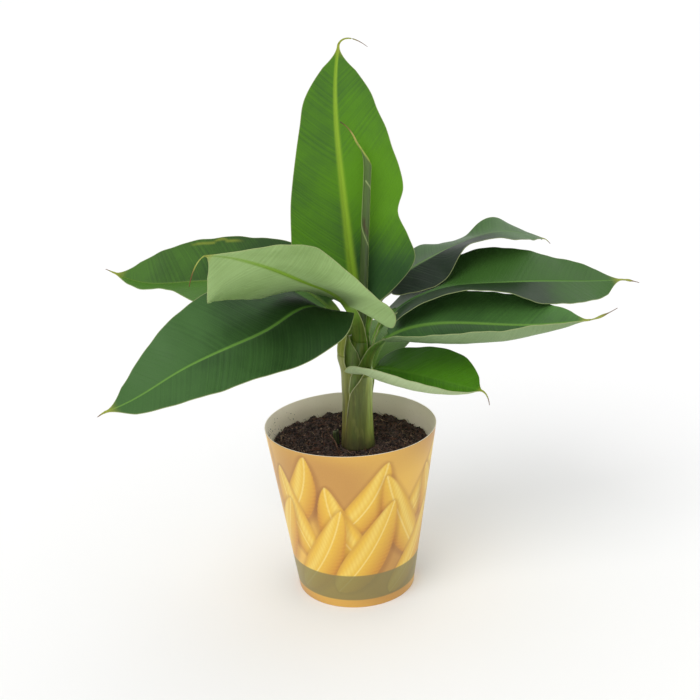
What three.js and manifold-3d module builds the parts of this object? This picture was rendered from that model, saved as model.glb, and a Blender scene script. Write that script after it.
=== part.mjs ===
// Young banana plant in a printed card pot, in millimetres, with +Z up.
// The origin is the middle of the pot's flat underside. The plant is seen from the front along +Y.
import * as THREE from "three";
import { mergeVertices } from "three/addons/utils/BufferGeometryUtils.js";
import Module from "manifold-3d";

// Driving dimensions of the pot and its soil.
const POT_HEIGHT = 138;
const POT_RIM_RADIUS = 67.5;
const POT_FOOT_RADIUS = 47.4;
const POT_WALL = 1.2;
const POT_FLOOR = 1.5;
const SOIL_EDGE_BACK = 122;
const SOIL_EDGE_FRONT = 119;
const SOIL_EDGE_DROP_RIGHT = 2.5;
const SOIL_SEAT = 118.7;
const SOIL_SEAT_RADIUS = 17;
const SOIL_RIPPLE = 0.8;
const SOIL_RIPPLES = 5;
const SOIL_RINGS = [[0.2, -0.5], [0.5, 0.8], [0.8, 0.5]];
const ROUND_FACETS = 64;

// Driving dimensions of the stem. Heights are above the pot's underside.
const GAP = 0.3;
const STEM_FOOT = SOIL_SEAT + GAP;
const STEM_FORK = 210;
const STEM_FACETS = 20;
const STEM_MIDDLE_X = [5.5, 5.8, 6.2, 6.5, 8, 11];
const STEM_MIDDLE_Y = [0, 0, 0, 0, 0.5, 1];
const STEM_RADIUS = [13.5, 12.3, 11.8, 12, 11.3, 8];
const STEM_STEPS = 10;

// The newest leaf, still rolled up, with a dry tip that leans to the left.
const SPEAR_PATH = [
  [12, -2, STEM_FORK + GAP],
  [13.2, -2.3, 232],
  [14.6, -2.6, 256],
  [16.3, -3, 281],
  [18.1, -3, 307],
  [20, -3, 332],
  [18.4, -3, 346.5],
  [10.2, -3, 361],
  [1.8, -3, 371.8],
];
const SPEAR_RADIUS = [3.6, 3.5, 3.4, 3.3, 3.1, 2.9, 1.7, 0.9, 0.5];
const SPEAR_FACETS = 10;
const SPEAR_STEPS = 24;
const SPEAR_SIGHT = 0.02;

// What the leaves share.
const LEAF_THICKNESS = 2.3;
const STALK_THICKNESS = 3.6;
const STALK_EDGE_SHARE = 0.7;
const STALK_HALF_WIDTH = 4.5;
const STALK_FOLD = 62;
const TIP_HALF_WIDTH = 1.3;
const TAIL_END_HALF_WIDTH = 0.6;
const TAIL_END_THICKNESS = 1.2;
const DRIP_SHARE = 0.09;
const OPENING_FROM = -0.25;
const OPENING_TO = 0.08;
const LOBE_REACH = 0.5;
const LOBE_FADE = 1.5;
const BASE_CROWDING = 0.25;
const FIRST_STRIDE = 0.4;
const MIDRIB_STEPS = 200;
const ACROSS = [0, 0.12, 0.4, 0.7, 1];
const STALK_STEPS = 4;
const BLADE_STEPS = 17;
const TAIL_STEPS = 3;
const CUT_CLEARANCE = 0.45;

// One entry for each open leaf. Lengths are in millimetres and angles in degrees.
// foot: where the stalk leaves the stem. stalk, blade: lengths along the midrib.
// tail: length of the drip tip, and the heading and climb of its end. halfWidth: left and right.
// heading: direction seen from above, from +X towards +Y. climb: rise above level.
// lean: sideways bend in the leaf's own plane. roll: turn about the midrib, left side up.
// fold: how far each half is raised from flat. curl: further upward bend of each half out to its margin.
// lobe: how far each half reaches back past the stalk. trim: margin in and out.
// Lists run evenly from the foot, or for the halves from the blade's base, to the tip.
const LEAVES = {
  leaf_tall: {
    foot: [11, 3, 210.5], stalk: 33, blade: 182, tail: [16, 0, 10], halfWidth: [43, 47], broad: 0.2,
    tipFull: 2.7, heading: [90], climb: [85, 89, 90], lean: [5, 6, 4, 4, 3, -2, -11],
    fold: { left: [25, 15, 10], right: [15, 5, 10] }, lobe: { left: 0.15, right: 0.35 },
    trim: {
      left: [1, 1.03, 1.05, 1.01, 0.97, 0.91, 0.87, 0.87, 0.95, 0.82, 0.47],
      right: [0.61, 0.89, 1.05, 0.96, 0.84, 0.98, 0.99, 0.97, 1, 1.01, 1.11, 1.08, 0.89],
    },
  },
  leaf_front_left_high: {
    foot: [6, -9, 206], stalk: 35, blade: 156, tail: [24, 200, -75], halfWidth: [44, 38],
    heading: [228, 229, 232, 234], climb: [98, 56, 28, 28, 25, 21, 11], roll: [9, 17, 30, 32, 30],
    fold: { left: [-15, -17, -5, -20], right: [20, 1, -5, -7, -23, -37] },
    lobe: { left: 0.68, right: 0.1 },
    trim: {
      left: [1.85, 1.35, 1.17, 0.98, 1.04, 1.04, 1.01],
      right: [0.98, 0.99, 1.03, 1.13, 1.46, 1.6, 1.5],
    },
  },
  leaf_front_left_low: {
    foot: [-2, -5, 196], stalk: 36, blade: 192, tail: [6, 208, -30], halfWidth: [46, 46],
    heading: [219, 216, 207, 203], climb: [91, 48, -18, -11, -15, -24, -10], roll: [-8, -26, -28, -25],
    fold: { left: [22, 3, 2, -2], right: [-14, 4, 16, 14, 11] }, lobe: { left: 0, right: 0.15 },
    trim: {
      left: [1.35, 1.54, 1.05, 0.82, 0.79, 0.82, 0.83, 0.98],
      right: [1.01, 1.05, 1.09, 1, 0.91, 0.88, 0.87],
    },
  },
  leaf_right: {
    foot: [20, 2, 200], stalk: 34, blade: 183, tail: [15, 8, -20], halfWidth: [44, 44],
    heading: [4, 6, 11], climb: [73, 31, 2, -2, -5, -1],
    fold: { left: [-10, -2, 20, 26, 24, 23], right: [-16, 6, 6, -9, -19, -27] },
    lobe: { left: 0.15, right: 0.27 },
    trim: {
      left: [1.01, 1.03, 1.05, 0.95, 1.01, 1.08],
      right: [0.77, 0.75, 0.75, 0.89, 0.94, 1.03, 1.08, 1.03, 1.08, 1.14, 1.2],
    },
  },
  leaf_front_right: {
    foot: [16, -6, 186], stalk: 30, blade: 152, tail: [22, -20, 35], halfWidth: [38, 38],
    heading: [-14, -17, -20], climb: [80, 28, 6, 0, 6, 11],
    fold: { left: [17, 25, 29, 34], right: [-53, -55, -52, -46, -39] },
    curl: { left: [0], right: [117, 116, 120, 110] }, lobe: { left: 0.15, right: 0.18 },
    trim: { left: [0.95, 1.02, 0.93, 0.99, 1.09, 1.16], right: [1, 1.12, 1.22, 1.18, 1.11, 1.04] },
  },
  leaf_front_right_low: {
    foot: [14, -10, 179], stalk: 10, blade: 92, tail: [12, -32, -85], halfWidth: [31, 31], tipFull: 3,
    heading: [-36, -32, -31], climb: [66, 4, -2, -5, -6, -5],
    fold: { left: [16, 21, 19], right: [-30, -39, -47, -43] },
    curl: { left: [0], right: [89, 115, 114, 98] }, lobe: { left: 0.3, right: 0.73 },
    trim: { left: [0.97, 1.01, 1.08, 1.1, 1.05, 1.09], right: [1.19, 1.36, 1.32, 1.18, 1.03, 0.94] },
  },
  leaf_back_left: {
    foot: [5, 6, 205], stalk: 34, blade: 191, tail: [8, 165, 20], halfWidth: [42, 42],
    heading: [150, 160, 165], climb: [58, 31, -2, -4, -4, 27], roll: [-10],
    fold: { left: [18, 7, 3, 15, -2], right: [28, 29, 31, 36, 43] },
    trim: {
      left: [0.99, 1.01, 1.04, 1.03, 0.97, 0.76, 0.81, 0.85],
      right: [0.94, 0.94, 0.97, 1.03, 1.06, 1.19, 1.27, 1.46],
    },
  },
  leaf_back_right: {
    foot: [16, 6, 208], stalk: 38, blade: 166, tail: [8, 30, -50], halfWidth: [40, 40],
    heading: [30, 30, 32], climb: [76, 46, 20, 13, 5, -15, -20],
    fold: {
      left: [-21, -21, -14, -9, -14, -14, 14, 15, 11],
      right: [-26, -31, -30, 11, 12, 3, -4, -4, -3],
    },
    trim: {
      left: [1.01, 1.06, 1.08, 1, 0.92, 1.02, 1.05],
      right: [0.6, 0.82, 0.72, 0.91, 1.08, 1.09, 1.04],
    },
  },
  leaf_back_low: {
    foot: [16, 8, 170], stalk: 14, blade: 80, tail: [8, 65, -40], halfWidth: [27, 27], heading: [65],
    climb: [50, 8, -20], fold: { left: [15], right: [15] },
  },
};
const LEAF_DEFAULTS = {
  broad: 0.4, baseRound: 2, tipFull: 2.2, lean: [0], roll: [0], curl: { left: [0], right: [0] },
  lobe: { left: 0.15, right: 0.15 }, trim: { left: [1], right: [1] },
};

// Finishes read from the photograph.
const FINISH = {
  pot: { color: "#e2b548", roughness: 0.55 },
  soil: { color: "#33261e", roughness: 0.95 },
  stem: { color: "#8da354", roughness: 0.5 },
  leaf_spear: { color: "#7f9a55", roughness: 0.5 },
  leaf_tall: { color: "#5c9a26", roughness: 0.45 },
  leaf_front_left_high: { color: "#9cbf80", roughness: 0.6 },
  leaf: { color: "#3c7030", roughness: 0.45 },
};

const wasm = await Module();
wasm.setup();

const radians = THREE.MathUtils.degToRad;
const clamp = THREE.MathUtils.clamp;

// A smooth curve through evenly spaced values, read at s from 0 to 1.
function through(values, s) {
  const last = values.length - 1;
  if (last === 0) return values[0];
  const place = clamp(s, 0, 1) * last;
  const i = Math.min(Math.floor(place), last - 1);
  const f = place - i;
  const [b, c] = [values[i], values[i + 1]];
  const a = i > 0 ? values[i - 1] : 2 * b - c;
  const d = i < last - 1 ? values[i + 2] : 2 * c - b;
  return b + 0.5 * f * (c - a + f * (2 * a - 5 * b + 4 * c - d + f * (3 * (b - c) + d - a)));
}

// A closed skin over rings of points. Each ring runs out along one side and back along the other,
// so a flat end is closed by a ladder between the two sides.
function loft(rings) {
  const n = rings[0].length;
  const positions = rings.flat().flatMap((p) => [p.x, p.y, p.z]);
  const faces = [];
  for (let i = 0; i < rings.length - 1; i++)
    for (let k = 0; k < n; k++) {
      const next = (k + 1) % n;
      const [a, b] = [i * n + k, (i + 1) * n + k];
      const [c, d] = [(i + 1) * n + next, i * n + next];
      faces.push(a, b, c, a, c, d);
    }
  const end = (rings.length - 1) * n;
  for (let k = 0; k < n / 2 - 1; k++) {
    const [a, b, c, d] = [k, k + 1, n - 2 - k, n - 1 - k];
    faces.push(a, b, c, a, c, d, end + a, end + c, end + b, end + a, end + d, end + c);
  }
  const geometry = new THREE.BufferGeometry();
  geometry.setAttribute("position", new THREE.Float32BufferAttribute(positions, 3));
  geometry.setIndex(faces);
  return geometry;
}

const EAST = new THREE.Vector3(1, 0, 0);
const NORTH = new THREE.Vector3(0, 1, 0);

// A level or tilted circle of points, clockwise when seen from the end that the loft runs to.
function circle(middle, radius, facets, across = EAST, up = NORTH) {
  return Array.from({ length: facets }, (_, k) => {
    const turn = (-2 * Math.PI * (k + 0.5)) / facets;
    const point = middle.clone().addScaledVector(across, radius * Math.cos(turn));
    return point.addScaledVector(up, radius * Math.sin(turn));
  });
}

function solidOf(geometry) {
  const bare = geometry.clone();
  bare.deleteAttribute("normal");
  bare.deleteAttribute("uv");
  const merged = mergeVertices(bare, 1e-4);
  return new wasm.Manifold(
    new wasm.Mesh({
      numProp: 3,
      vertProperties: merged.attributes.position.array,
      triVerts: new Uint32Array(merged.index.array),
    }),
  );
}

function geometryOf(solid) {
  const mesh = solid.getMesh();
  const geometry = new THREE.BufferGeometry();
  geometry.setAttribute("position", new THREE.Float32BufferAttribute(mesh.vertProperties, 3));
  geometry.setIndex(new THREE.Uint32BufferAttribute(mesh.triVerts, 1));
  geometry.computeVertexNormals();
  return geometry;
}

// The pot is a tapered sleeve of stiff card on a flat floor.
function potGeometry() {
  const profile = [
    [0, POT_FLOOR],
    [potInnerRadius(POT_FLOOR), POT_FLOOR],
    [POT_RIM_RADIUS - POT_WALL, POT_HEIGHT],
    [POT_RIM_RADIUS, POT_HEIGHT],
    [POT_FOOT_RADIUS, 0],
    [0, 0],
  ];
  const outline = profile.reverse().map(([radius, height]) => new THREE.Vector2(radius, height));
  return new THREE.LatheGeometry(outline, ROUND_FACETS).rotateX(Math.PI / 2).rotateZ(Math.PI / ROUND_FACETS);
}

function potInnerRadius(height) {
  return POT_FOOT_RADIUS - POT_WALL + ((POT_RIM_RADIUS - POT_FOOT_RADIUS) * height) / POT_HEIGHT;
}

// The soil fills the pot and mounds gently up to a level seat under the stem.
function soilGeometry() {
  const edgeHeight = (turn) =>
    (SOIL_EDGE_BACK + SOIL_EDGE_FRONT) / 2 +
    ((SOIL_EDGE_BACK - SOIL_EDGE_FRONT) / 2) * Math.sin(turn) -
    SOIL_EDGE_DROP_RIGHT * Math.max(0, Math.cos(turn));
  const floor = POT_FLOOR + GAP;
  const underStem = new THREE.Vector3(STEM_MIDDLE_X[0], STEM_MIDDLE_Y[0], SOIL_SEAT);
  const seat = circle(underStem, SOIL_SEAT_RADIUS, ROUND_FACETS);
  const edge = circle(new THREE.Vector3(), 1, ROUND_FACETS).map((p) => {
    const height = edgeHeight(Math.atan2(p.y, p.x));
    return p.multiplyScalar(potInnerRadius(height) - GAP).setZ(height);
  });
  const between = ([share, lift]) =>
    edge.map((p, k) => {
      const ripple = SOIL_RIPPLE * Math.sin(SOIL_RIPPLES * (Math.atan2(p.y, p.x) + 2 * share));
      return p.clone().lerp(seat[k], share).add(new THREE.Vector3(0, 0, lift + ripple));
    });
  const bottom = circle(new THREE.Vector3(0, 0, floor), potInnerRadius(floor) - GAP, ROUND_FACETS);
  return loft([bottom, edge, ...SOIL_RINGS.map(between), seat]);
}

// The stem of rolled leaf sheaths narrows and leans from the soil up to its fork.
function stemGeometry(grow = 0) {
  const rings = [];
  for (let i = 0; i <= STEM_STEPS; i++) {
    const s = i / STEM_STEPS;
    const height = THREE.MathUtils.lerp(STEM_FOOT - grow, STEM_FORK + grow, s);
    const middle = new THREE.Vector3(through(STEM_MIDDLE_X, s), through(STEM_MIDDLE_Y, s), height);
    rings.push(circle(middle, through(STEM_RADIUS, s) + grow, STEM_FACETS));
  }
  return loft(rings);
}

function spearGeometry(grow = 0) {
  const axis = (s) => new THREE.Vector3(...[0, 1, 2].map((k) => through(SPEAR_PATH.map((p) => p[k]), s)));
  const rings = [];
  for (let i = 0; i <= SPEAR_STEPS; i++) {
    const s = i / SPEAR_STEPS;
    const ahead = axis(Math.min(s + SPEAR_SIGHT, 1)).sub(axis(Math.max(s - SPEAR_SIGHT, 0))).normalize();
    if (i === 0) ahead.set(0, 0, 1);
    const depth = new THREE.Vector3(0, 1, 0).addScaledVector(ahead, -ahead.y).normalize();
    const side = depth.clone().cross(ahead);
    rings.push(circle(axis(s), through(SPEAR_RADIUS, s) + grow, SPEAR_FACETS, side, depth));
  }
  return loft(rings);
}

// Half-width of a blade as a share of its widest, at t from its base to its tip.
function bladeOutline(leaf, t) {
  if (t < leaf.broad) {
    const rise = 1 - t / leaf.broad;
    return (1 - rise ** leaf.baseRound) ** (1 / leaf.baseRound);
  }
  const fall = (t - leaf.broad) / (1 - leaf.broad);
  return (1 - fall ** leaf.tipFull) * Math.sqrt(clamp((1 - t) / DRIP_SHARE, 0, 1));
}

// Direction of growth, side and upper face of a leaf at s from its foot to its tip.
function leafFrame(leaf, s) {
  const heading = radians(through(leaf.heading, s));
  const climb = radians(through(leaf.climb, s));
  const lean = radians(through(leaf.lean, s));
  const level = new THREE.Vector3(
    Math.cos(heading) * Math.cos(climb),
    Math.sin(heading) * Math.cos(climb),
    Math.sin(climb),
  );
  const left = new THREE.Vector3(-Math.sin(heading), Math.cos(heading), 0);
  const ahead = level.clone().multiplyScalar(Math.cos(lean)).addScaledVector(left, Math.sin(lean));
  const side = left.multiplyScalar(Math.cos(lean)).addScaledVector(level, -Math.sin(lean));
  return { ahead, side, up: ahead.clone().cross(side) };
}

// Points along the midrib, from the foot of the stalk to the tip of the blade.
function midrib(leaf) {
  const step = (leaf.stalk + leaf.blade) / MIDRIB_STEPS;
  const points = [new THREE.Vector3(...leaf.foot)];
  for (let i = 0; i < MIDRIB_STEPS; i++)
    points.push(points[i].clone().addScaledVector(leafFrame(leaf, (i + 0.5) / MIDRIB_STEPS).ahead, step));
  return (s) => {
    const i = Math.min(Math.floor(s * MIDRIB_STEPS), MIDRIB_STEPS - 1);
    return points[i].clone().lerp(points[i + 1], s * MIDRIB_STEPS - i);
  };
}

// One half of a leaf at one place: how far each point across lies to the side, above and behind the midrib.
function halfAcross(leaf, side, t) {
  const inBlade = Math.max(t, 0);
  const opening = THREE.MathUtils.smoothstep(t, OPENING_FROM, OPENING_TO);
  const width = leaf.halfWidth[side === "left" ? 0 : 1];
  const shape = t < 0 ? 0 : bladeOutline(leaf, inBlade);
  const half = Math.hypot(
    width * shape * through(leaf.trim[side], inBlade),
    Math.max(STALK_HALF_WIDTH * (1 - inBlade), TIP_HALF_WIDTH),
  );
  const fold = radians(THREE.MathUtils.lerp(STALK_FOLD, through(leaf.fold[side], inBlade), opening));
  const curl = radians(through(leaf.curl[side], inBlade) * opening);
  const lobeShare = Math.min(1, 2 * shape) * clamp(1 - inBlade / LOBE_REACH, 0, 1) ** LOBE_FADE;
  const back = leaf.lobe[side] * width * lobeShare;
  let [out, up] = [0, 0];
  return ACROSS.map((share, k) => {
    if (k > 0) {
      const stride = (share - ACROSS[k - 1]) * half;
      const angle = fold + (curl * (share + ACROSS[k - 1])) / 2;
      out += stride * Math.cos(angle);
      up += stride * Math.sin(angle);
    }
    return { out, up, back: back * share ** 2 };
  });
}

// Where along a leaf its cross-sections stand. They crowd towards the blade's base.
function leafStations() {
  const stations = [];
  for (let i = 0; i < STALK_STEPS; i++) stations.push(i / STALK_STEPS - 1);
  for (let i = 0; i <= BLADE_STEPS; i++) {
    const t = i / BLADE_STEPS;
    const slowStart = Math.min(1, FIRST_STRIDE + ((1 - FIRST_STRIDE) * t) / BASE_CROWDING);
    stations.push(t * slowStart);
  }
  return stations;
}

// The upper face of a leaf as rows of points from its right margin to its left, foot first.
function leafRows(leaf) {
  const along = midrib(leaf);
  const length = leaf.stalk + leaf.blade;
  let frame;
  const rows = leafStations().map((t) => {
    const s = (t < 0 ? leaf.stalk * (1 + t) : leaf.stalk + leaf.blade * t) / length;
    frame = leafFrame(leaf, s);
    const roll = radians(through(leaf.roll, Math.max(t, 0)));
    const side = frame.side.clone().multiplyScalar(Math.cos(roll)).addScaledVector(frame.up, Math.sin(roll));
    const up = frame.up.clone().multiplyScalar(Math.cos(roll)).addScaledVector(frame.side, -Math.sin(roll));
    Object.assign(frame, { side, up });
    const middle = along(s);
    const point = (sign) => (p) => {
      const raised = middle.clone().addScaledVector(side, sign * p.out).addScaledVector(up, p.up);
      return raised.addScaledVector(frame.ahead, -p.back);
    };
    const right = halfAcross(leaf, "right", t).map(point(-1));
    const left = halfAcross(leaf, "left", t).map(point(1));
    return [...right.reverse(), ...left.slice(1)];
  });
  rows.push(...tailRows(leaf, along(1), frame));
  return rows;
}

// The drip tip bends from the blade's direction to its own and narrows to a hair.
function tailRows(leaf, tip, frame) {
  const [length, heading, climb] = leaf.tail;
  const end = new THREE.Vector3(
    Math.cos(radians(heading)) * Math.cos(radians(climb)),
    Math.sin(radians(heading)) * Math.cos(radians(climb)),
    Math.sin(radians(climb)),
  );
  const rows = [];
  const middle = tip.clone();
  for (let i = 1; i <= TAIL_STEPS; i++) {
    const share = i / TAIL_STEPS;
    const ahead = frame.ahead.clone().lerp(end, Math.sqrt(share)).normalize();
    middle.addScaledVector(ahead, length / TAIL_STEPS);
    const side = frame.side.clone().addScaledVector(ahead, -ahead.dot(frame.side)).normalize();
    const half = THREE.MathUtils.lerp(TIP_HALF_WIDTH, TAIL_END_HALF_WIDTH, share);
    const offsets = [...ACROSS.slice(1).reverse().map((v) => -v), ...ACROSS];
    rows.push(offsets.map((v) => middle.clone().addScaledVector(side, v * half)));
  }
  return rows;
}

// A leaf's closed solid: its upper face, and a lower face set off from it by the thickness there.
function leafGeometry(leaf, grow = 0) {
  const rows = leafRows(leaf);
  const last = rows.length - 1;
  const bladeStart = STALK_STEPS;
  const tailStart = last - TAIL_STEPS;
  if (grow > 0) spreadRows(rows, grow);
  const middle = ACROSS.length - 1;
  const rings = rows.map((row, i) => {
    const ahead = rows[Math.min(i + 1, last)][middle].clone().sub(rows[Math.max(i - 1, 0)][middle]);
    const shareOfBlade = clamp((i - bladeStart) / (tailStart - bladeStart), 0, 1);
    const shareOfTail = clamp((i - tailStart) / TAIL_STEPS, 0, 1);
    const rib = THREE.MathUtils.lerp(STALK_THICKNESS, LEAF_THICKNESS, shareOfBlade);
    const edge = i < bladeStart ? STALK_THICKNESS * STALK_EDGE_SHARE : LEAF_THICKNESS;
    const thin = THREE.MathUtils.lerp(1, TAIL_END_THICKNESS / LEAF_THICKNESS, shareOfTail);
    const upper = [];
    const lower = [];
    row.forEach((p, j) => {
      const across = row[Math.min(j + 1, row.length - 1)].clone().sub(row[Math.max(j - 1, 0)]);
      const normal = ahead.clone().cross(across).normalize();
      const thickness = (j === middle ? rib : edge) * thin;
      upper.push(p.clone().addScaledVector(normal, grow));
      lower.push(p.clone().addScaledVector(normal, -thickness - grow));
    });
    return [...upper, ...lower.reverse()];
  });
  return loft(rings);
}

// Moves the ends and margins of the rows outwards, for the clearance round a leaf.
function spreadRows(rows, grow) {
  const first = rows[0].map((p) => p.clone());
  const towards = (from, to) => from.clone().sub(to).normalize().multiplyScalar(grow);
  rows[0].forEach((p, j) => p.add(towards(first[j], rows[1][j])));
  const [beforeEnd, end] = rows.slice(-2);
  end.forEach((p, j) => p.add(towards(p, beforeEnd[j])));
  for (const row of rows) {
    const n = row.length;
    const [right, left] = [towards(row[0], row[1]), towards(row[n - 1], row[n - 2])];
    row[0].add(right);
    row[n - 1].add(left);
  }
}

function largestBody(solid) {
  return solid.decompose().reduce((a, b) => (a.volume() > b.volume() ? a : b));
}

// Each leaf is cut clear of the stem, of the rolled leaf and of the leaves listed before it.
function leafSolids() {
  const placed = [solidOf(stemGeometry(CUT_CLEARANCE)), solidOf(spearGeometry(CUT_CLEARANCE))];
  const solids = {};
  for (const [name, entry] of Object.entries(LEAVES)) {
    const leaf = { ...LEAF_DEFAULTS, ...entry };
    const whole = solidOf(leafGeometry(leaf));
    solids[name] = largestBody(placed.reduce((rest, other) => rest.subtract(other), whole));
    placed.push(solidOf(leafGeometry(leaf, CUT_CLEARANCE)));
  }
  return solids;
}

function addPiece(group, name, geometry) {
  const finish = FINISH[name] ?? FINISH.leaf;
  const material = new THREE.MeshStandardMaterial({ metalness: 0, side: THREE.DoubleSide, ...finish });
  const mesh = new THREE.Mesh(geometry, material);
  mesh.name = name;
  group.add(mesh);
}

const plant = new THREE.Group();
addPiece(plant, "pot", geometryOf(solidOf(potGeometry())));
addPiece(plant, "soil", soilGeometry());
addPiece(plant, "stem", stemGeometry());
addPiece(plant, "leaf_spear", spearGeometry());
for (const [name, solid] of Object.entries(leafSolids())) addPiece(plant, name, geometryOf(solid));

export default plant;
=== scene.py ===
import itertools
import math

import bpy
import numpy as np
from mathutils import Matrix, Vector


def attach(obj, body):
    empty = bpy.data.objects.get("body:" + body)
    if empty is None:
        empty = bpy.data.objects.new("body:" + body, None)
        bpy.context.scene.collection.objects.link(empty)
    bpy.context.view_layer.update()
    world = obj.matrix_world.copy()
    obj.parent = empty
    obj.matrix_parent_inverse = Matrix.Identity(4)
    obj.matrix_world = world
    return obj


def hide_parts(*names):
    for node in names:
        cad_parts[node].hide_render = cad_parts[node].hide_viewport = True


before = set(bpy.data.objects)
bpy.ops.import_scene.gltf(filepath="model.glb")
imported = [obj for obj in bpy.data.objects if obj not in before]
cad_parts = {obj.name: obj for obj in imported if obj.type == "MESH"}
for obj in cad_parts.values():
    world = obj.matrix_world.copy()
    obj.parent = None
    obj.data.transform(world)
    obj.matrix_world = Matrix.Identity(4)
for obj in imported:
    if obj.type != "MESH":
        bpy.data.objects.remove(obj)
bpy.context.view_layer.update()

# Camera. It stands 0.8 m in front of the pot, a little above the tallest leaf, and looks down on it.
# The picture is tilted by two degrees, so the pot leans a little to the left in it.
LENS_MM = 56.57
FILM_WIDTH_MM = 36
CAMERA_PLACE = (0.0021, -0.8025, 0.4688)
CAMERA_TILT_DEG = 71.35
CAMERA_ROLL_DEG = -2.39

camera_data = bpy.data.cameras.new("camera")
camera_data.lens = LENS_MM
camera_data.sensor_width = FILM_WIDTH_MM
camera = bpy.data.objects.new("camera", camera_data)
bpy.context.scene.collection.objects.link(camera)
camera.matrix_world = (
    Matrix.Translation(CAMERA_PLACE)
    @ Matrix.Rotation(math.radians(CAMERA_TILT_DEG), 4, "X")
    @ Matrix.Rotation(math.radians(CAMERA_ROLL_DEG), 4, "Z")
)
bpy.context.scene.camera = camera
bpy.context.scene.view_settings.view_transform = "Standard"

# Pot. A tapered sleeve of thin printed card round a flat floor, glued along an upright lap at the back.
# Its outside carries a print of broad overlapping leaves in warm yellows above a plain olive band,
# and its inside is bare greyish beige card. Sizes here and below are in millimetres.
MM = 0.001
POT_HEIGHT = 138
POT_RIM_RADIUS = 67.5
POT_FOOT_RADIUS = 47.4
CARD_THICKNESS = 0.7
POT_ROWS = 185
POT_COLUMNS = 480
INSIDE_ROWS = 12
RIM_CROWN = 0.12
WALL_INSET = 0.3
LAP_AT_DEG = 97
LAP_STEP = 0.4
LAP_FADE_DEG = 35
FLOOR_RECESS = 1.0
FLOOR_TOP = FLOOR_RECESS + 1.2
FOOT_PROFILE = [(0.01, FLOOR_RECESS), (0.9, FLOOR_RECESS), (0.975, 0.3), (0.985, 0.0)]
PRINT_ROUND = 361.0
PRINT_TIERS = [(72, 62, 78, 7), (38, 118, 86, 8), (14, 66, 92, 8)]
VEIN_PITCH = 4.2
BAND_FOOT = 7
BAND_TOP = 30.5


def tint(colour):
    """A colour as linear light. It may be given as six hexadecimal digits."""
    if not isinstance(colour, str):
        return colour
    parts = [int(colour[i : i + 2], 16) / 255 for i in (0, 2, 4)]
    return [p / 12.92 if p <= 0.04045 else ((p + 0.055) / 1.055) ** 2.4 for p in parts]


def smooth(low, high, values):
    """Rises softly from 0 at low to 1 at high."""
    share = np.clip((np.asarray(values, float) - low) / (high - low), 0, 1)
    return share * share * (3 - 2 * share)


def between(a, b, share):
    """The mix of two numbers."""
    return a + (b - a) * share


def painted(colours, *layers):
    """Colours with others laid over them, each with the share that it takes at each point."""
    for colour, share in layers:
        share = np.asarray(share, float)[..., None]
        colours = np.asarray(tint(colours), float) * (1 - share) + np.asarray(tint(colour), float) * share
    return colours


def all_round(count):
    """Turns spread evenly round a circle."""
    return np.linspace(0, 2 * math.pi, count, endpoint=False)


def ring_at(turn, radius, z):
    """Points round the upright axis at a radius and a height."""
    return np.stack([radius * np.cos(turn), radius * np.sin(turn), z + 0 * turn], -1)


def grid_faces(rows, columns, closed=False, start=0):
    """Four-sided faces over a grid of points that runs row by row."""
    last = columns if closed else columns - 1
    row, column = np.meshgrid(np.arange(rows - 1), np.arange(last), indexing="ij")
    beside = (column + 1) % columns
    corners = [row * columns + column, row * columns + beside]
    corners += [(row + 1) * columns + beside, (row + 1) * columns + column]
    return np.stack(corners, -1).reshape(-1, 4) + start


def ringed_faces(rows, columns, flip=False):
    """Faces over closed rings of points, with one more across each end."""
    ends = [np.arange(columns)[None, ::-1], np.arange((rows - 1) * columns, rows * columns)[None]]
    faces = [grid_faces(rows, columns, closed=True), *ends]
    return [f[:, ::-1] for f in faces] if flip else faces


def make_piece(name, points, faces, finishes, finish_of=None, replaces=(), hard=0):
    """A smooth mesh from points in millimetres, riding on the plant's one body.

    Faces come as a list of grids; the last ones, as many as hard says, are cut ends without smoothing.
    """
    mesh = bpy.data.meshes.new(name)
    loops = np.concatenate([f.reshape(-1) for f in faces]).astype(np.int32)
    sizes = np.concatenate([np.full(len(f), f.shape[1]) for f in faces]).astype(np.int32)
    mesh.vertices.add(len(points))
    mesh.vertices.foreach_set("co", (np.asarray(points, float) * MM).astype(np.float32).reshape(-1))
    mesh.loops.add(len(loops))
    mesh.loops.foreach_set("vertex_index", loops)
    mesh.polygons.add(len(sizes))
    mesh.polygons.foreach_set("loop_start", np.concatenate([[0], np.cumsum(sizes)[:-1]]).astype(np.int32))
    mesh.polygons.foreach_set("loop_total", sizes)
    soft = np.concatenate([np.full(len(f), k < len(faces) - hard) for k, f in enumerate(faces)])
    mesh.polygons.foreach_set("use_smooth", soft)
    if finish_of is not None:
        mesh.polygons.foreach_set("material_index", np.asarray(finish_of, np.int32))
    mesh.update(calc_edges=True)
    mesh.validate()
    for finish in finishes:
        mesh.materials.append(finish)
    piece = bpy.data.objects.new(name, mesh)
    bpy.context.scene.collection.objects.link(piece)
    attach(piece, "root")
    if replaces:
        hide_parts(*replaces)
    return piece


def give(piece, name, values):
    """Stores one number or one colour for each point of a piece."""
    values = np.asarray(values, np.float32)
    if values.ndim == 1:
        piece.data.attributes.new(name, "FLOAT", "POINT").data.foreach_set("value", values)
    else:
        rgba = np.concatenate([values, np.ones((len(values), 1), np.float32)], 1)
        piece.data.attributes.new(name, "FLOAT_COLOR", "POINT").data.foreach_set("color", rgba.reshape(-1))


def finish_named(name, roughness, sockets=()):
    """A new material whose plain settings stand on the shader's own sockets."""
    finish = bpy.data.materials.new(name)
    finish.use_nodes = True
    for socket, value in {"Roughness": roughness, **dict(sockets)}.items():
        finish.node_tree.nodes["Principled BSDF"].inputs[socket].default_value = value
    return finish


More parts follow.
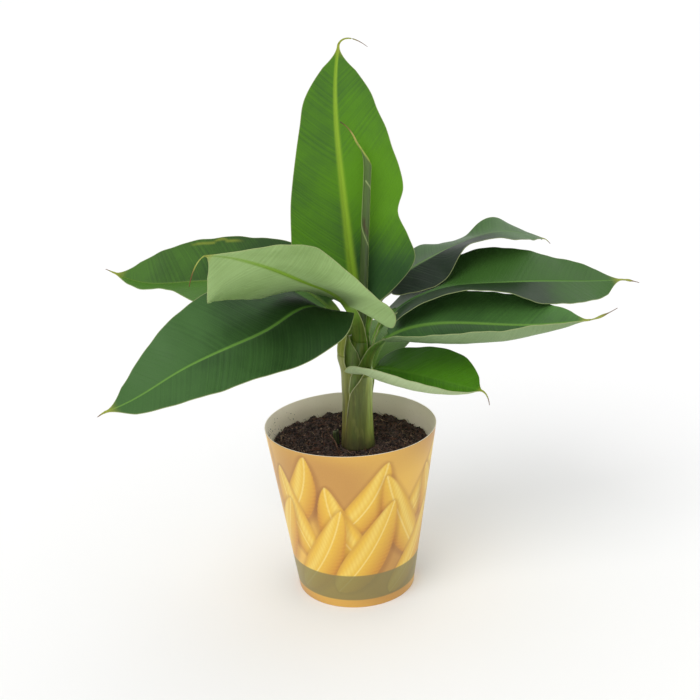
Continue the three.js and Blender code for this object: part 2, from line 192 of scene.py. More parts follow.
def add(finish, kind, feeds, **settings):
    """Adds a node to a material. Each feed is a plain value or the output that drives the socket."""
    node = finish.node_tree.nodes.new("ShaderNode" + kind)
    for setting, value in settings.items():
        setattr(node, setting, value)
    for socket, feed in feeds.items():
        if isinstance(feed, bpy.types.NodeSocket):
            finish.node_tree.links.new(feed, node.inputs[socket])
        else:
            node.inputs[socket].default_value = feed
    return node


def stored(finish, name, output="Fac"):
    """What each point of the piece keeps under a name."""
    return add(finish, "Attribute", {}, attribute_name=name).outputs[output]


def grain(finish, scale, detail, stretch=(1, 1, 1), where=None):
    """Soft irregular noise, drawn out along an axis whose stretch is under 1."""
    if where is None:
        where = add(finish, "TexCoord", {}).outputs["Object"]
    spread = add(finish, "Mapping", {"Vector": where, "Scale": stretch}).outputs[0]
    settings = {"Vector": spread, "Scale": scale, "Detail": detail, "Roughness": 0.55}
    return add(finish, "TexNoise", settings).outputs[0]


def span(finish, value, low, high, to_low=0.0, to_high=1.0):
    """A value that goes softly from one number at low to another at high."""
    feeds = {0: value, 1: low, 2: high, 3: to_low, 4: to_high}
    return add(finish, "MapRange", feeds, interpolation_type="SMOOTHSTEP").outputs[0]


def blend(finish, share, a, b, mode="MIX"):
    """The mix of two colours or of two outputs."""
    a, b = (feed if isinstance(feed, bpy.types.NodeSocket) else (*tint(feed), 1) for feed in (a, b))
    return add(finish, "Mix", {0: share, 6: a, 7: b}, data_type="RGBA", blend_type=mode).outputs[2]


def layered(finish, colour, *layers):
    """A colour with others laid over it: for each a value, how it rises if it isn't a share, and a colour."""
    for value, *rise, over in layers:
        colour = blend(finish, span(finish, value, *rise) if rise else value, colour, over)
    return colour


def drive(finish, socket, output):
    """Lets a node's output drive one of the shader's sockets."""
    shader = finish.node_tree.nodes["Principled BSDF"]
    finish.node_tree.links.new(output, shader.inputs[socket])


def dress(finish, colour, relief, depth_mm, strength):
    """Gives a finish its colour and its fine relief."""
    drive(finish, "Base Color", colour)
    feeds = {"Height": relief, "Distance": depth_mm * MM, "Strength": strength}
    drive(finish, "Normal", add(finish, "Bump", feeds).outputs[0])


def pot_radius(height):
    """Radius of the true cone that the pot follows."""
    return POT_FOOT_RADIUS + (POT_RIM_RADIUS - POT_FOOT_RADIUS) * np.asarray(height, float) / POT_HEIGHT


def out_of_round(turn, height):
    """How far the card strays from a true cone: a soft lean of the rim, and the step of the glued lap."""
    rise = np.asarray(height, float) / POT_HEIGHT
    past_lap = (np.degrees(turn) - LAP_AT_DEG) % 360
    lap = LAP_STEP * (1 - smooth(0, LAP_FADE_DEG, past_lap)) * smooth(0, 0.8, past_lap)
    return rise**2 * (0.35 * np.cos(2 * turn + 0.6) + 0.2 * np.cos(3 * turn + 2)) + lap - WALL_INSET


# One row for each printed leaf: where it starts round the pot and up it, the way it points, its length,
# its half-width and its bend. Later leaves lie over earlier ones.
PRINTED_LEAVES = []
print_draw = np.random.default_rng(11)
for tier, (foot, way, length, count) in enumerate(PRINT_TIERS):
    for k in range(count):
        start = PRINT_ROUND * (k + 0.37 * tier) / count + print_draw.uniform(-5, 5)
        turn = way + print_draw.uniform(-9, 9)
        size = length * print_draw.uniform(0.9, 1.08)
        half = size * print_draw.uniform(0.155, 0.185)
        bend = print_draw.uniform(5, 10) * (-1 if turn < 90 else 1)
        PRINTED_LEAVES.append((start, foot + print_draw.uniform(-5, 5), turn, size, half, bend))


def printed_colours(arc, height):
    """The print's colours at points round and up the pot."""
    cloud = np.sin(arc / 23 + height / 31) + np.sin(arc / 41 - height / 17 + 2)
    colours = painted("eaba50", ("c69248", smooth(-1.2, 1.4, cloud)))
    for start, foot, way, length, half, bend in PRINTED_LEAVES:
        along_x = (arc - start + PRINT_ROUND / 2) % PRINT_ROUND - PRINT_ROUND / 2
        along_z = height - foot
        cos, sin = math.cos(math.radians(way)), math.sin(math.radians(way))
        u = (along_x * cos + along_z * sin) / length
        side = -along_x * sin + along_z * cos
        side = side - bend * 4 * np.clip(u, 0, 1) * (1 - np.clip(u, 0, 1))
        reach = half * np.sin(math.pi * np.clip(u, 0.001, 0.999) ** 0.75) ** 0.62
        ends = np.maximum(0, np.abs(u - 0.5) - 0.5) * length
        edge = reach - np.hypot(side, 2 * ends)
        shadow = smooth(-5.0, 0.0, edge + 0.7 * np.where(way < 90, -side, side) * 0.15)
        across = side / half * (-1 if way < 90 else 1)
        veins = 0.5 + 0.5 * np.sin((u * length - 0.9 * np.abs(side)) * 2 * math.pi / VEIN_PITCH)
        body = painted(
            "ebbf42",
            ("d09232", smooth(-0.1, 0.95, across)),
            ("f7dd74", 0.6 * smooth(0.75, 0.0, np.abs(across + 0.38) * 2.2)),
            ("c07f35", 0.5 * smooth(0.7, 1.0, np.abs(side) / np.maximum(reach, 0.1))),
            ("e0a93c", 0.28 * veins),
            ("fae99a", 0.55 * smooth(0.9, 0.2, np.abs(side))),
        )
        shaded = colours * np.array([0.72, 0.6, 0.55])
        colours = painted(colours, (shaded, 0.75 * shadow), (body, smooth(-0.35, 0.35, edge)))
    band = smooth(BAND_FOOT - 0.3, BAND_FOOT + 0.3, height) * smooth(BAND_TOP + 0.3, BAND_TOP - 0.3, height)
    return painted(colours, (painted(colours, ("7c7848", 0.84)), band))


turns = all_round(POT_COLUMNS)
heights = np.linspace(0, POT_HEIGHT, POT_ROWS)
wall = [ring_at(turns, pot_radius(z) + out_of_round(turns, z), z) for z in heights]
rim_radius = pot_radius(POT_HEIGHT) + out_of_round(turns, POT_HEIGHT) - 0.5 * CARD_THICKNESS
foot_rings = [ring_at(turns, share * POT_FOOT_RADIUS, z) for share, z in FOOT_PROFILE]
pot_rings = foot_rings + wall + [ring_at(turns, rim_radius, POT_HEIGHT + RIM_CROWN)]
for z in np.linspace(POT_HEIGHT, FLOOR_TOP, INSIDE_ROWS):
    pot_rings.append(ring_at(turns, pot_radius(z) + out_of_round(turns, z) - CARD_THICKNESS, z))
pot_rings += [ring_at(turns, share * POT_FOOT_RADIUS, FLOOR_TOP) for share in (0.7, 0.35, 0.01)]
pot_points = np.concatenate(pot_rings)
face_row = np.repeat(np.arange(len(pot_rings) - 1), POT_COLUMNS)
bare = (face_row < len(foot_rings)) | (face_row >= len(foot_rings) + POT_ROWS - 1)

print_finish = finish_named("pot_print", 0.42, {"Coat Weight": 0.15, "Coat Roughness": 0.3})
paper = grain(print_finish, 900, 4)
printed = blend(print_finish, 0.06, stored(print_finish, "print", "Color"), paper, "OVERLAY")
dress(print_finish, printed, paper, 0.03, 0.5)

card_finish = finish_named("pot_card", 0.8)
pulp = grain(card_finish, 700, 5)
clouds = grain(card_finish, 18, 2)
beige = layered(card_finish, "fdf1de", (clouds, 0.3, 0.7, "f5e8d2"), (pulp, 0.6, 0.75, 0, 0.35, "b3a888"))
dress(card_finish, beige, pulp, 0.06, 0.6)

pot = make_piece(
    "pot_sleeve", pot_points, ringed_faces(len(pot_rings), POT_COLUMNS), [print_finish, card_finish],
    finish_of=np.concatenate([bare.astype(int), [1, 1]]), replaces=["pot"], hard=2,
)
arc_of = np.tile(turns * PRINT_ROUND / (2 * math.pi), len(pot_rings))
give(pot, "print", printed_colours(arc_of, np.clip(pot_points[:, 2], 0, POT_HEIGHT)))

# Soil. Dark moist peat fills the pot to about 18 mm under its rim and mounds a little round the stem.
# A lumpy closed body carries loose crumbs of three tones, thin fibres, one old root and a cut stub,
# all pressed into the surface, and a few specks stick to the card.
SOIL_BACK = 122
SOIL_FRONT = 119
SOIL_DROP_RIGHT = 2.5
SOIL_SEAT = 118.7
SOIL_SEAT_RADIUS = 17
SOIL_RIPPLE = 0.8
SOIL_RIPPLES = 5
SOIL_SHARES = [0, 0.2, 0.5, 0.8, 1, 1.4]
SOIL_LIFTS = [0, -0.5, 0.8, 0.5, 0, 0]
SOIL_RINGS = 92
SOIL_COLUMNS = 400
SOIL_CLEAR = 1.4
LUMPS = [(0.9, 8, 3), (0.65, 3.6, 4), (0.35, 1.6, 5)]
STEM_X = [5.5, 5.8, 6.2, 6.5, 8, 11]
STEM_Y = [0, 0, 0, 0, 0.5, 1]
STEM_RADIUS = [13.5, 12.3, 11.8, 12, 11.3, 8]
BARE_ROUND_STEM = 13.7


def ripples(x, y, size, seed, waves=9):
    """Rounded relief about 1 high whose lumps are about size across, the same at every run."""
    draw = np.random.default_rng(seed)
    total = np.zeros(np.shape(x))
    for _ in range(waves):
        way, phase = draw.uniform(0, 2 * math.pi, 2)
        rate = 2 * math.pi / (size * draw.uniform(1.2, 2.6))
        total += np.sin((x * math.cos(way) + y * math.sin(way)) * rate + phase)
    return total / math.sqrt(waves)


def soil_top(x, y):
    """Height of the soil at a place, without the loose crumbs."""
    inner = pot_radius(SOIL_BACK) - CARD_THICKNESS
    share = np.zeros(np.shape(x))
    for _ in range(5):
        from_middle = np.hypot(x - share * STEM_X[0], y)
        share = np.clip((inner - from_middle) / (inner - SOIL_SEAT_RADIUS), 0, 1.4)
    turn = np.arctan2(y, x - share * STEM_X[0])
    edge = (SOIL_BACK + SOIL_FRONT) / 2 + (SOIL_BACK - SOIL_FRONT) / 2 * np.sin(turn)
    edge = edge - SOIL_DROP_RIGHT * np.maximum(0, np.cos(turn))
    height = between(edge, SOIL_SEAT, np.minimum(share, 1)) + np.interp(share, SOIL_SHARES, SOIL_LIFTS)
    height = height + SOIL_RIPPLE * np.sin(SOIL_RIPPLES * (turn + 2 * share))
    lumps = sum(high * ripples(x, y, size, seed) for high, size, seed in LUMPS)
    seat = smooth(STEM_RADIUS[0] + 1.3, STEM_RADIUS[0] + 0.3, np.hypot(x - STEM_X[0], y))
    return between(height + lumps, SOIL_SEAT, seat)


soil_turns = all_round(SOIL_COLUMNS)
soil_edge = pot_radius(SOIL_FRONT) - CARD_THICKNESS - 1.2
soil_rings = []
for share in np.linspace(0.004, 1, SOIL_RINGS):
    soil_ring = ring_at(soil_turns, soil_edge * share, 0)
    soil_ring[:, 2] = soil_top(soil_ring[:, 0], soil_ring[:, 1])
    soil_rings.append(soil_ring)
for z in (112, 60, FLOOR_RECESS + 1.5):
    soil_rings.append(ring_at(soil_turns, pot_radius(z) - CARD_THICKNESS - SOIL_CLEAR, z))

peat = finish_named("soil_peat", 0.95, {"Specular IOR Level": 0.25})
clods = grain(peat, 260, 4)
specks = grain(peat, 900, 3)
peat_colour = layered(peat, "302a2a", (clods, 0.35, 0.68, "66544f"), (specks, 0.62, 0.75, 0, 0.6, "94705c"))
dress(peat, peat_colour, clods, 0.5, 0.8)
soil_faces = ringed_faces(len(soil_rings), SOIL_COLUMNS, flip=True)
make_piece("soil_body", np.concatenate(soil_rings), soil_faces, [peat], replaces=["soil"])


def through(values, s):
    """A smooth curve through evenly spaced values, read at places from 0 to 1."""
    if len(values) == 1:
        return np.full(np.shape(s), float(values[0]))
    spread = np.array([2 * values[0] - values[1], *values, 2 * values[-1] - values[-2]], float)
    place = np.clip(s, 0, 1) * (len(values) - 1)
    i = np.minimum(np.floor(place).astype(int), len(values) - 2)
    f = place - i
    a, b, c, d = spread[i], spread[i + 1], spread[i + 2], spread[i + 3]
    return b + 0.5 * f * (c - a + f * (2 * a - 5 * b + 4 * c - d + f * (3 * (b - c) + d - a)))


def path_through(path, shares):
    """A smooth curve through evenly spaced points in space."""
    return np.stack([through(path[:, k], shares) for k in range(3)], -1)


def unit(rows):
    """Directions of length 1."""
    return rows / np.linalg.norm(rows, axis=-1, keepdims=True)


def turned(draw, count):
    """Random turns in space, as one matrix for each thing."""
    spin = draw.normal(size=(4, count))
    w, x, y, z = spin / np.linalg.norm(spin, axis=0)
    rows = [
        [1 - 2 * (y * y + z * z), 2 * (x * y - z * w), 2 * (x * z + y * w)],
        [2 * (x * y + z * w), 1 - 2 * (x * x + z * z), 2 * (y * z - x * w)],
        [2 * (x * z - y * w), 2 * (y * z + x * w), 1 - 2 * (x * x + y * y)],
    ]
    return np.moveaxis(np.array(rows), 2, 0)


def strewn(draw, count, clear=1.0):
    """Places spread evenly over the soil, clear of the stem and of the card."""
    turn = draw.uniform(0, 2 * math.pi, 4 * count)
    reach = (soil_edge - clear) * np.sqrt(draw.uniform(0, 1, 4 * count))
    x, y = reach * np.cos(turn), reach * np.sin(turn)
    free = np.hypot(x - STEM_X[0], y) > BARE_ROUND_STEM + clear
    return x[free][:count], y[free][:count]


def loose_things(name, points, faces, roughness, colour):
    """Many small things on the soil as one piece, in one colour, being too small to carry a pattern."""
    finish = finish_named(name, roughness, {"Base Color": (*tint(colour), 1), "Specular IOR Level": 0.2})
    make_piece(name, points, faces, [finish])


GOLDEN = (1 + math.sqrt(5)) / 2
crumb = np.array([(a, b * GOLDEN, 0) for a in (-1, 1) for b in (-1, 1)], float)
crumb = np.concatenate([crumb, np.roll(crumb, 1, 1), np.roll(crumb, 2, 1)]) / math.hypot(1, GOLDEN)
near = np.linalg.norm(crumb[:, None] - crumb[None], axis=2) < 1.2
threes = itertools.combinations(range(len(crumb)), 3)
crumb_faces = np.array([(a, b, c) for a, b, c in threes if near[a, b] and near[b, c] and near[a, c]])
a, b, c = (crumb[crumb_faces[:, k]] for k in range(3))
inside_out = np.einsum("fi,fi->f", np.cross(b - a, c - a), a) < 0
crumb_faces[inside_out] = crumb_faces[inside_out][:, ::-1]


def crumb_heap(draw, places, sizes):
    """Uneven lumps: one small solid, stretched, dented and turned at each place."""
    count = len(sizes)
    stretch = draw.uniform(0.45, 1.5, (count, 1, 3)) * sizes[:, None, None]
    dents = draw.uniform(0.6, 1.25, (count, len(crumb), 1))
    points = np.einsum("cij,cvj->cvi", turned(draw, count), crumb[None] * dents * stretch) + places[:, None]
    faces = crumb_faces[None] + len(crumb) * np.arange(count)[:, None, None]
    return points.reshape(-1, 3), [faces.reshape(-1, 3)]


# Each kind of crumb has its colour, how many there are, and its size beside the others.
CRUMBS = {"dark": ("352c2b", 4300, 1), "brown": ("62504a", 3200, 1), "light": ("a08573", 640, 0.75)}
soil_draw = np.random.default_rng(21)
for kind, (colour, count, scale) in CRUMBS.items():
    x, y = strewn(soil_draw, count)
    sizes = (0.3 + 0.95 * soil_draw.uniform(0, 1, len(x)) ** 3) * scale
    z = soil_top(x, y) + 0.25 * sizes
    points, faces = crumb_heap(soil_draw, np.stack([x, y, z], -1), sizes)
    loose_things("soil_crumbs_" + kind, points, faces, 0.95, colour)


def strands(starts, headings, lengths, widths, lifts, bends, steps=7):
    """Thin three-sided threads, each on its own curve over the soil."""
    share = np.linspace(-0.5, 0.5, steps)
    heading = headings[:, None] + bends[:, None] * share
    x = starts[0][:, None] + np.cumsum(np.cos(heading) * lengths[:, None] / steps, 1)
    y = starts[1][:, None] + np.cumsum(np.sin(heading) * lengths[:, None] / steps, 1)
    hold = np.minimum(1, (soil_edge - 0.6) / np.hypot(x, y))
    x, y = x * hold, y * hold
    rise = lifts[:, None] * (0.25 + (share + 0.5) ** 2)
    z = soil_top(starts[0], starts[1])[:, None] * 0.6 + soil_top(x, y) * 0.4 + 0.35 + rise
    corner = np.arange(3) * 2 * math.pi / 3
    thick = widths[:, None] * np.sqrt(np.clip(1 - (2 * share) ** 2, 0.05, 1))
    side = np.stack([-np.sin(heading), np.cos(heading), np.zeros_like(heading)], -1)
    round_spine = side[:, :, None] * np.cos(corner)[:, None] + np.array([0, 0, 1.0]) * np.sin(corner)[:, None]
    points = np.stack([x, y, z], -1)[:, :, None] + thick[:, :, None, None] * round_spine
    caps = np.array([[0, 1, 2], [3 * steps - 1, 3 * steps - 2, 3 * steps - 3]])
    shift = (3 * steps * np.arange(len(lengths)))[:, None, None]
    faces = [grid_faces(steps, 3, closed=True)[None] + shift, caps[None] + shift]
    return points.reshape(-1, 3), [f.reshape(-1, f.shape[-1]) for f in faces]


FIBRES = {"red": ("75503f", 1200), "dark": ("362c29", 800), "pale": ("b8977a", 170)}
for kind, (colour, count) in FIBRES.items():
    starts = strewn(soil_draw, count, 2.5)
    count = len(starts[0])
    headings = soil_draw.uniform(0, 2 * math.pi, count)
    lengths = 2.5 + 9 * soil_draw.uniform(0, 1, count) ** 2
    widths = soil_draw.uniform(0.09, 0.24, count)
    lifts = 3.2 * soil_draw.uniform(0, 1, count) ** 4
    points, faces = strands(starts, headings, lengths, widths, lifts, soil_draw.uniform(-1.6, 1.6, count))
    loose_things("soil_fibres_" + kind, points, faces, 0.9, colour)


def tube(path, radii, sides, rows):
    """A round thing that follows a path, with its two ends closed."""
    share = np.linspace(0, 1, rows)
    spine = path_through(path, share)
    ahead = unit(np.gradient(spine, axis=0))
    side = unit(np.cross(ahead, [0.3, 0.2, 1.0]))
    over = np.cross(side, ahead)
    corner = np.arange(sides) * 2 * math.pi / sides
    offset = side[:, None] * np.cos(corner)[:, None] + over[:, None] * np.sin(corner)[:, None]
    points = spine[:, None] + offset * through(radii, share)[:, None, None]
    return points.reshape(-1, 3), ringed_faces(rows, sides, flip=True)


OLD_ROOT_PATH = np.array([
    (-18.5, 6, 128), (-16.5, 2.5, 126.6), (-13.5, -3.5, 125), (-11.5, -8.5, 122.5), (-10.5, -11, 118.5),
])
OLD_ROOT_RADII = [0.3, 0.55, 0.65, 0.6, 0.5]
root_finish = finish_named("old_root", 0.85, {"Specular IOR Level": 0.25})
bark = grain(root_finish, 900, 4)
dress(root_finish, layered(root_finish, "3e2a22", (bark, 0.35, 0.65, "80604e")), bark, 0.2, 0.7)
root_points, root_faces = tube(OLD_ROOT_PATH, OLD_ROOT_RADII, 10, 40)
make_piece("old_root", root_points, root_faces, [root_finish], hard=2)

STUB_X, STUB_Y = -11.3, 3.8
STUB_FOOT = 116
STUB_SIDES = 24
STUB_PROFILE = [
    (2.1, STUB_FOOT), (2.3, 120), (2.35, 124), (2.25, 128), (2.2, 129.4), (1.8, 129.9), (1.5, 129.2),
    (0.8, 128.5), (0.01, 128.3),
]
stub_turns = all_round(STUB_SIDES)
stub_rings = []
for radius, z in STUB_PROFILE:
    swell = radius * (1 + 0.08 * np.cos(2 * stub_turns + 1))
    x = STUB_X + swell * np.cos(stub_turns) - 0.05 * (z - STUB_FOOT)
    y = STUB_Y + 0.8 * swell * np.sin(stub_turns)
    stub_rings.append(np.stack([x, y, z + 0.35 * swell * np.cos(stub_turns) * (z > 125)], -1))
stub_points = np.concatenate(stub_rings)
stub_finish = finish_named("stub_skin", 0.6)
stub_fibres = grain(stub_finish, 700, 3, (1, 1, 0.15))
stub_skin = stored(stub_finish, "skin", "Color")
stub_colour = layered(stub_finish, stub_skin, (stub_fibres, 0.35, 0.65, "2a3018"))
dress(stub_finish, stub_colour, stub_fibres, 0.2, 0.7)
stub_faces = ringed_faces(len(STUB_PROFILE), STUB_SIDES)
stub = make_piece("old_leaf_stub", stub_points, stub_faces, [stub_finish], hard=2)
give(stub, "skin", painted("4a5a2a", ("b5b98a", smooth(128.6, 129.6, stub_points[:, 2]))))

SPECK_COUNT = 150
speck_turn = math.pi + soil_draw.normal(0, 0.45, SPECK_COUNT)
speck_z = 121 + 13 * soil_draw.uniform(0, 1, SPECK_COUNT) ** 2
speck_reach = pot_radius(speck_z) + out_of_round(speck_turn, speck_z) - CARD_THICKNESS - 0.12
speck_sizes = 0.15 + 0.35 * soil_draw.uniform(0, 1, SPECK_COUNT) ** 2
speck_points, speck_faces = crumb_heap(soil_draw, ring_at(speck_turn, speck_reach, speck_z), speck_sizes)
loose_things("soil_specks", speck_points, speck_faces, 0.95, "4a3a32")

# Stem. It has no wood: it is the rolled feet of the leaves, one round another, the lowest leaf outermost.
# Each sheath wraps the ones inside it, ends in a thin pale margin and narrows upwards into a leaf's stalk.
# The leaves' shapes stand here, because a sheath and its leaf are one growth.
STEM_FOOT = 119
STEM_FORK = 210
SHEATH_ROWS = 64
SHEATH_STEP = 0.8
SHEATH_THICK_RIB = 1.7
SHEATH_THICK_EDGE = 0.45
STALK_INNER = 0.6
SHEATH_DEPTHS = [0, 4, 8, 14, 22, 34, 50, 90]
SHEATH_HALF_DEG = [30, 36, 46, 62, 74, 82, 88, 92]
FOOT_LEVEL_OVER = 14
CORE_TOP = 204
CORE_INSET = SHEATH_STEP * 5.2
CORE_ROWS = 24
CORE_SIDES = 32
STALK_HALF = 6.2
STALK_RADIUS = 3.6
TIP_HALF = 0.9
DRIP_SHARE = 0.09
OPENING_FROM = -0.12
OPENING_TO = 0.05
LOOSENS_OVER = 24
FLARE_AT = 2
FLARE_SPREAD = 13
SLIT_AT_DEG = -131
MIDRIB_STEPS = 200
LOBE_REACH = 0.5
LOBE_FADE = 1.5
EASE_REACH = 18
BLADE_HALF_THICK = 0.22
WAVE_SIZES = [0.6, 0.35, 0.14]
WAVE_LENGTHS = [(50, 70), (27, 36), (13, 17)]


def leaf_shape(foot, stalk, blade, tail, half_width, heading, climb, **rest):
    """One leaf's measures. Lists run evenly from its foot to its tip; pairs are left and right.

    Rise, drift and wrap shape its sheath, and flare bows its stalk out. Eased lists places where it is
    pushed clear of a neighbour, each with the push, and flag widens its drip tip.
    """
    usual = {"broad": 0.4, "base_round": 2, "tip_full": 2.2, "lean": [0], "roll": [0]}
    usual |= {"fold": ([0], [0]), "curl": ([0], [0]), "lobe": (0.15, 0.15), "trim": ([1], [1])}
    usual |= {"rise": 0, "drift": [0], "flare": 0, "wrap": (SHEATH_HALF_DEG, SHEATH_HALF_DEG)}
    usual |= {"eased": [], "flag": 0}
    given = {"foot": foot, "stalk": stalk, "blade": blade, "tail": tail, "half_width": half_width}
    return usual | given | {"heading": heading, "climb": climb} | rest


LEAVES = {
    "leaf_tall": leaf_shape(
        [11, 3, 210.5], 33, 182, [24, 0, -38], (43, 47), [90], [85, 89, 90], broad=0.2, tip_full=2.7,
        lean=[5, 6, 4, 4, 3, -2, -11], fold=([25, 15, 10], [15, 5, 10]), lobe=(0.15, 0.35),
        eased=[((-17, -5, 244), (0, 0.9, 0))],
        trim=(
            [0.88, 1.02, 1.05, 1.01, 0.97, 0.91, 0.87, 0.87, 0.95, 0.82, 0.47],
            [0.61, 0.89, 1.05, 0.96, 0.84, 0.98, 0.99, 0.97, 1, 1.01, 1.11, 1.08, 0.89],
        ),
    ),
    "leaf_front_left_high": leaf_shape(
        [6, -9, 206], 35, 156, [24, 200, -75], (44, 38), [228, 229, 232, 234], [98, 56, 28, 28, 25, 21, 11],
        roll=[9, 17, 30, 32, 30], fold=([-15, -17, -5, -20], [20, 1, -5, -7, -23, -37]), lobe=(0.68, 0.1),
        trim=([1.85, 1.35, 1.17, 0.98, 1.04, 1.04, 1.01], [0.98, 0.99, 1.03, 1.13, 1.46, 1.6, 1.5]),
        rise=8, flare=-2.5, wrap=([50, 54, 60, 70, 78, 84, 88, 92], [50, 54, 60, 70, 78, 84, 88, 92]),
    ),
    "leaf_front_left_low": leaf_shape(
        [-2, -5, 196], 36, 192, [6, 208, -30], (46, 46), [219, 216, 207, 203],
        [91, 48, -18, -11, -15, -24, -10], roll=[-8, -26, -28, -25],
        fold=([22, 3, 2, -2], [-14, 4, 16, 14, 11]), lobe=(0, 0.15),
        trim=([1.35, 1.54, 1.05, 0.82, 0.79, 0.82, 0.83, 0.98], [1.06, 1.06, 1.09, 1, 0.91, 0.88, 0.87]),
        drift=[0, -23], flare=5, wrap=([30, 30, 31, 48, 72, 84, 90, 94], SHEATH_HALF_DEG),
        eased=[((-28, 3, 237), (0, 0, 2.2))],
    ),
    "leaf_right": leaf_shape(
        [20, 2, 200], 34, 183, [15, 8, -20], (44, 44), [4, 6, 11], [73, 31, 2, -2, -5, -1],
        fold=([-10, -2, 20, 26, 24, 23], [-16, 6, 6, -9, -19, -27]), lobe=(0.4, 0.4),
        trim=(
            [1.01, 1.03, 1.05, 0.95, 1.01, 1.08],
            [0.77, 0.75, 0.75, 0.89, 0.94, 1.03, 1.08, 1.03, 1.08, 1.14, 1.2],
        ),
        eased=[((66, 12, 241), (0, 0, -0.8)), ((146, -22, 237), (0, 0, 1.3))], flag=0.9,
    ),
    "leaf_front_right": leaf_shape(
        [16, -6, 186], 30, 152, [22, -20, 35], (38, 38), [-14, -17, -20], [80, 28, 6, 0, 6, 11],
        fold=([17, 25, 27, 26], [-53, -55, -52, -46, -39]), curl=([0], [117, 116, 120, 110]),
        lobe=(0.15, 0.18), trim=([0.95, 1.02, 0.93, 0.96, 1.02, 1.12], [1, 1.12, 1.22, 1.18, 1.11, 1.04]),
        rise=14, flare=2.5, wrap=([18, 20, 24, 34, 56, 78, 88, 92], [58, 62, 68, 76, 84, 88, 90, 92]),
        eased=[((146, -22, 237), (0, 0, -1.3))], flag=2.0,
    ),
    "leaf_front_right_low": leaf_shape(
        [14, -10, 179], 10, 92, [12, -32, -85], (31, 31), [-36, -32, -31], [66, 4, -2, -5, -6, -5],
        tip_full=3, fold=([16, 21, 19], [-30, -39, -47, -43]), curl=([0], [89, 115, 114, 98]),
        lobe=(0.08, 0.73), trim=([0.97, 1.01, 1.08, 1.1, 1.05, 1.09], [1.19, 1.36, 1.32, 1.18, 1.03, 0.94]),
        flare=1.3, wrap=(SHEATH_HALF_DEG, [30, 37, 48, 64, 74, 82, 88, 94]),
    ),
    "leaf_back_left": leaf_shape(
        [5, 6, 205], 34, 191, [8, 165, 20], (42, 42), [150, 160, 165], [58, 31, -2, -4, -4, 27], roll=[-10],
        fold=([18, 7, 3, 15, -2], [28, 29, 31, 36, 43]), lobe=(0.62, 0.15),
        trim=(
            [0.99, 1.01, 1.04, 1.03, 0.97, 0.76, 0.81, 0.85],
            [0.94, 0.94, 0.97, 1.03, 1.06, 1.19, 1.27, 1.46],
        ),
        rise=12, drift=[0, 40, 50], flare=7,
        wrap=([70, 80, 90, 112, 132, 130, 118, 95], SHEATH_HALF_DEG),
        eased=[((-28, 3, 237), (0, 0, -2.2))],
    ),
    "leaf_back_right": leaf_shape(
        [16, 6, 208], 38, 166, [8, 30, -50], (40, 40), [30, 30, 32], [76, 46, 20, 13, 5, -15, -20],
        fold=([-21, -21, -14, -9, -14, -14, 14, 15, 11], [-26, -31, -30, 11, 12, 3, -4, -4, -3]),
        trim=([1.01, 1.06, 1.08, 1, 0.92, 1.02, 1.05], [0.6, 0.74, 0.64, 0.9, 1.08, 1.09, 1.04]),
        eased=[((66, 12, 241), (0, 0, 1))],
    ),
    "leaf_back_low": leaf_shape(
        [16, 8, 170], 14, 80, [8, 65, -40], (27, 27), [65], [50, 8, -20], fold=([15], [15]),
        flare=1.5, wrap=(SHEATH_HALF_DEG, [20, 24, 28, 34, 38, 42, 44, 46]),
    ),
}
OUTSIDE_IN = sorted(LEAVES, key=lambda name: LEAVES[name]["foot"][2])


def growth_frame(leaf, s):
    """The way a leaf grows at s from its foot to its tip, its left side and its upper face."""
    heading, climb, lean = (np.radians(through(leaf[k], s)) for k in ("heading", "climb", "lean"))
    level = ring_at(heading, np.cos(climb), np.sin(climb))
    left = np.stack([-np.sin(heading), np.cos(heading), 0 * heading], -1)
    cos, sin = np.cos(lean)[:, None], np.sin(lean)[:, None]
    ahead, side = level * cos + left * sin, left * cos - level * sin
    return ahead, side, np.cross(ahead, side)


def blade_outline(leaf, t):
    """Half-width of a blade as a share of its widest, at t from its base to its tip."""
    rise = 1 - np.clip(t / leaf["broad"], 0, 1)
    fall = np.clip((t - leaf["broad"]) / (1 - leaf["broad"]), 0, 1)
    base = (1 - rise ** leaf["base_round"]) ** (1 / leaf["base_round"])
    tip = (1 - fall ** leaf["tip_full"]) * np.sqrt(np.clip((1 - t) / DRIP_SHARE, 0, 1))
    return np.where(t <= 0, 0, np.where(t < leaf["broad"], base, tip))


def stem_at(z):
    """Middle and radius of the stem at a height."""
    share = (np.asarray(z, float) - STEM_FOOT) / (STEM_FORK - STEM_FOOT)
    middle = np.stack([through(STEM_X, share), through(STEM_Y, share), z], -1)
    return middle, through(STEM_RADIUS, share)


def nearest_turn(turn):
    """The same turn, given between half a round back and half a round on."""
    return (turn + math.pi) % (2 * math.pi) - math.pi


def wrap_of(leaf, side, depth):
    """How far round the stem a sheath reaches on one side, at a depth under its top."""
    return np.radians(np.interp(depth, SHEATH_DEPTHS, leaf["wrap"][side]))


def rib_turn(leaf, z):
    """Where round the stem the rib of a sheath runs. It may drift on its way down."""
    foot = leaf["foot"]
    middle, _ = stem_at(np.array([foot[2]]))
    start = math.atan2(foot[1] - middle[0, 1], foot[0] - middle[0, 0])
    return start + np.radians(through(leaf["drift"], (foot[2] - z) / (foot[2] - STEM_FOOT)))


def covered(name, points):
    """How many outer sheaths lie over each point of a sheath."""
    z = points[..., 2]
    middle, _ = stem_at(z)
    around = np.arctan2(points[..., 1] - middle[..., 1], points[..., 0] - middle[..., 0])
    total = np.zeros(around.shape)
    for outer in OUTSIDE_IN[: OUTSIDE_IN.index(name)]:
        leaf = LEAVES[outer]
        past = nearest_turn(around - rib_turn(leaf, z))
        depth = leaf["foot"][2] + leaf["rise"] - z
        left, right = wrap_of(leaf, 0, depth), wrap_of(leaf, 1, depth)
        over = smooth(0.22, 0.05, past - left) * smooth(0.22, 0.05, -past - right)
        total += over * smooth(-6, 4, depth)
    return total


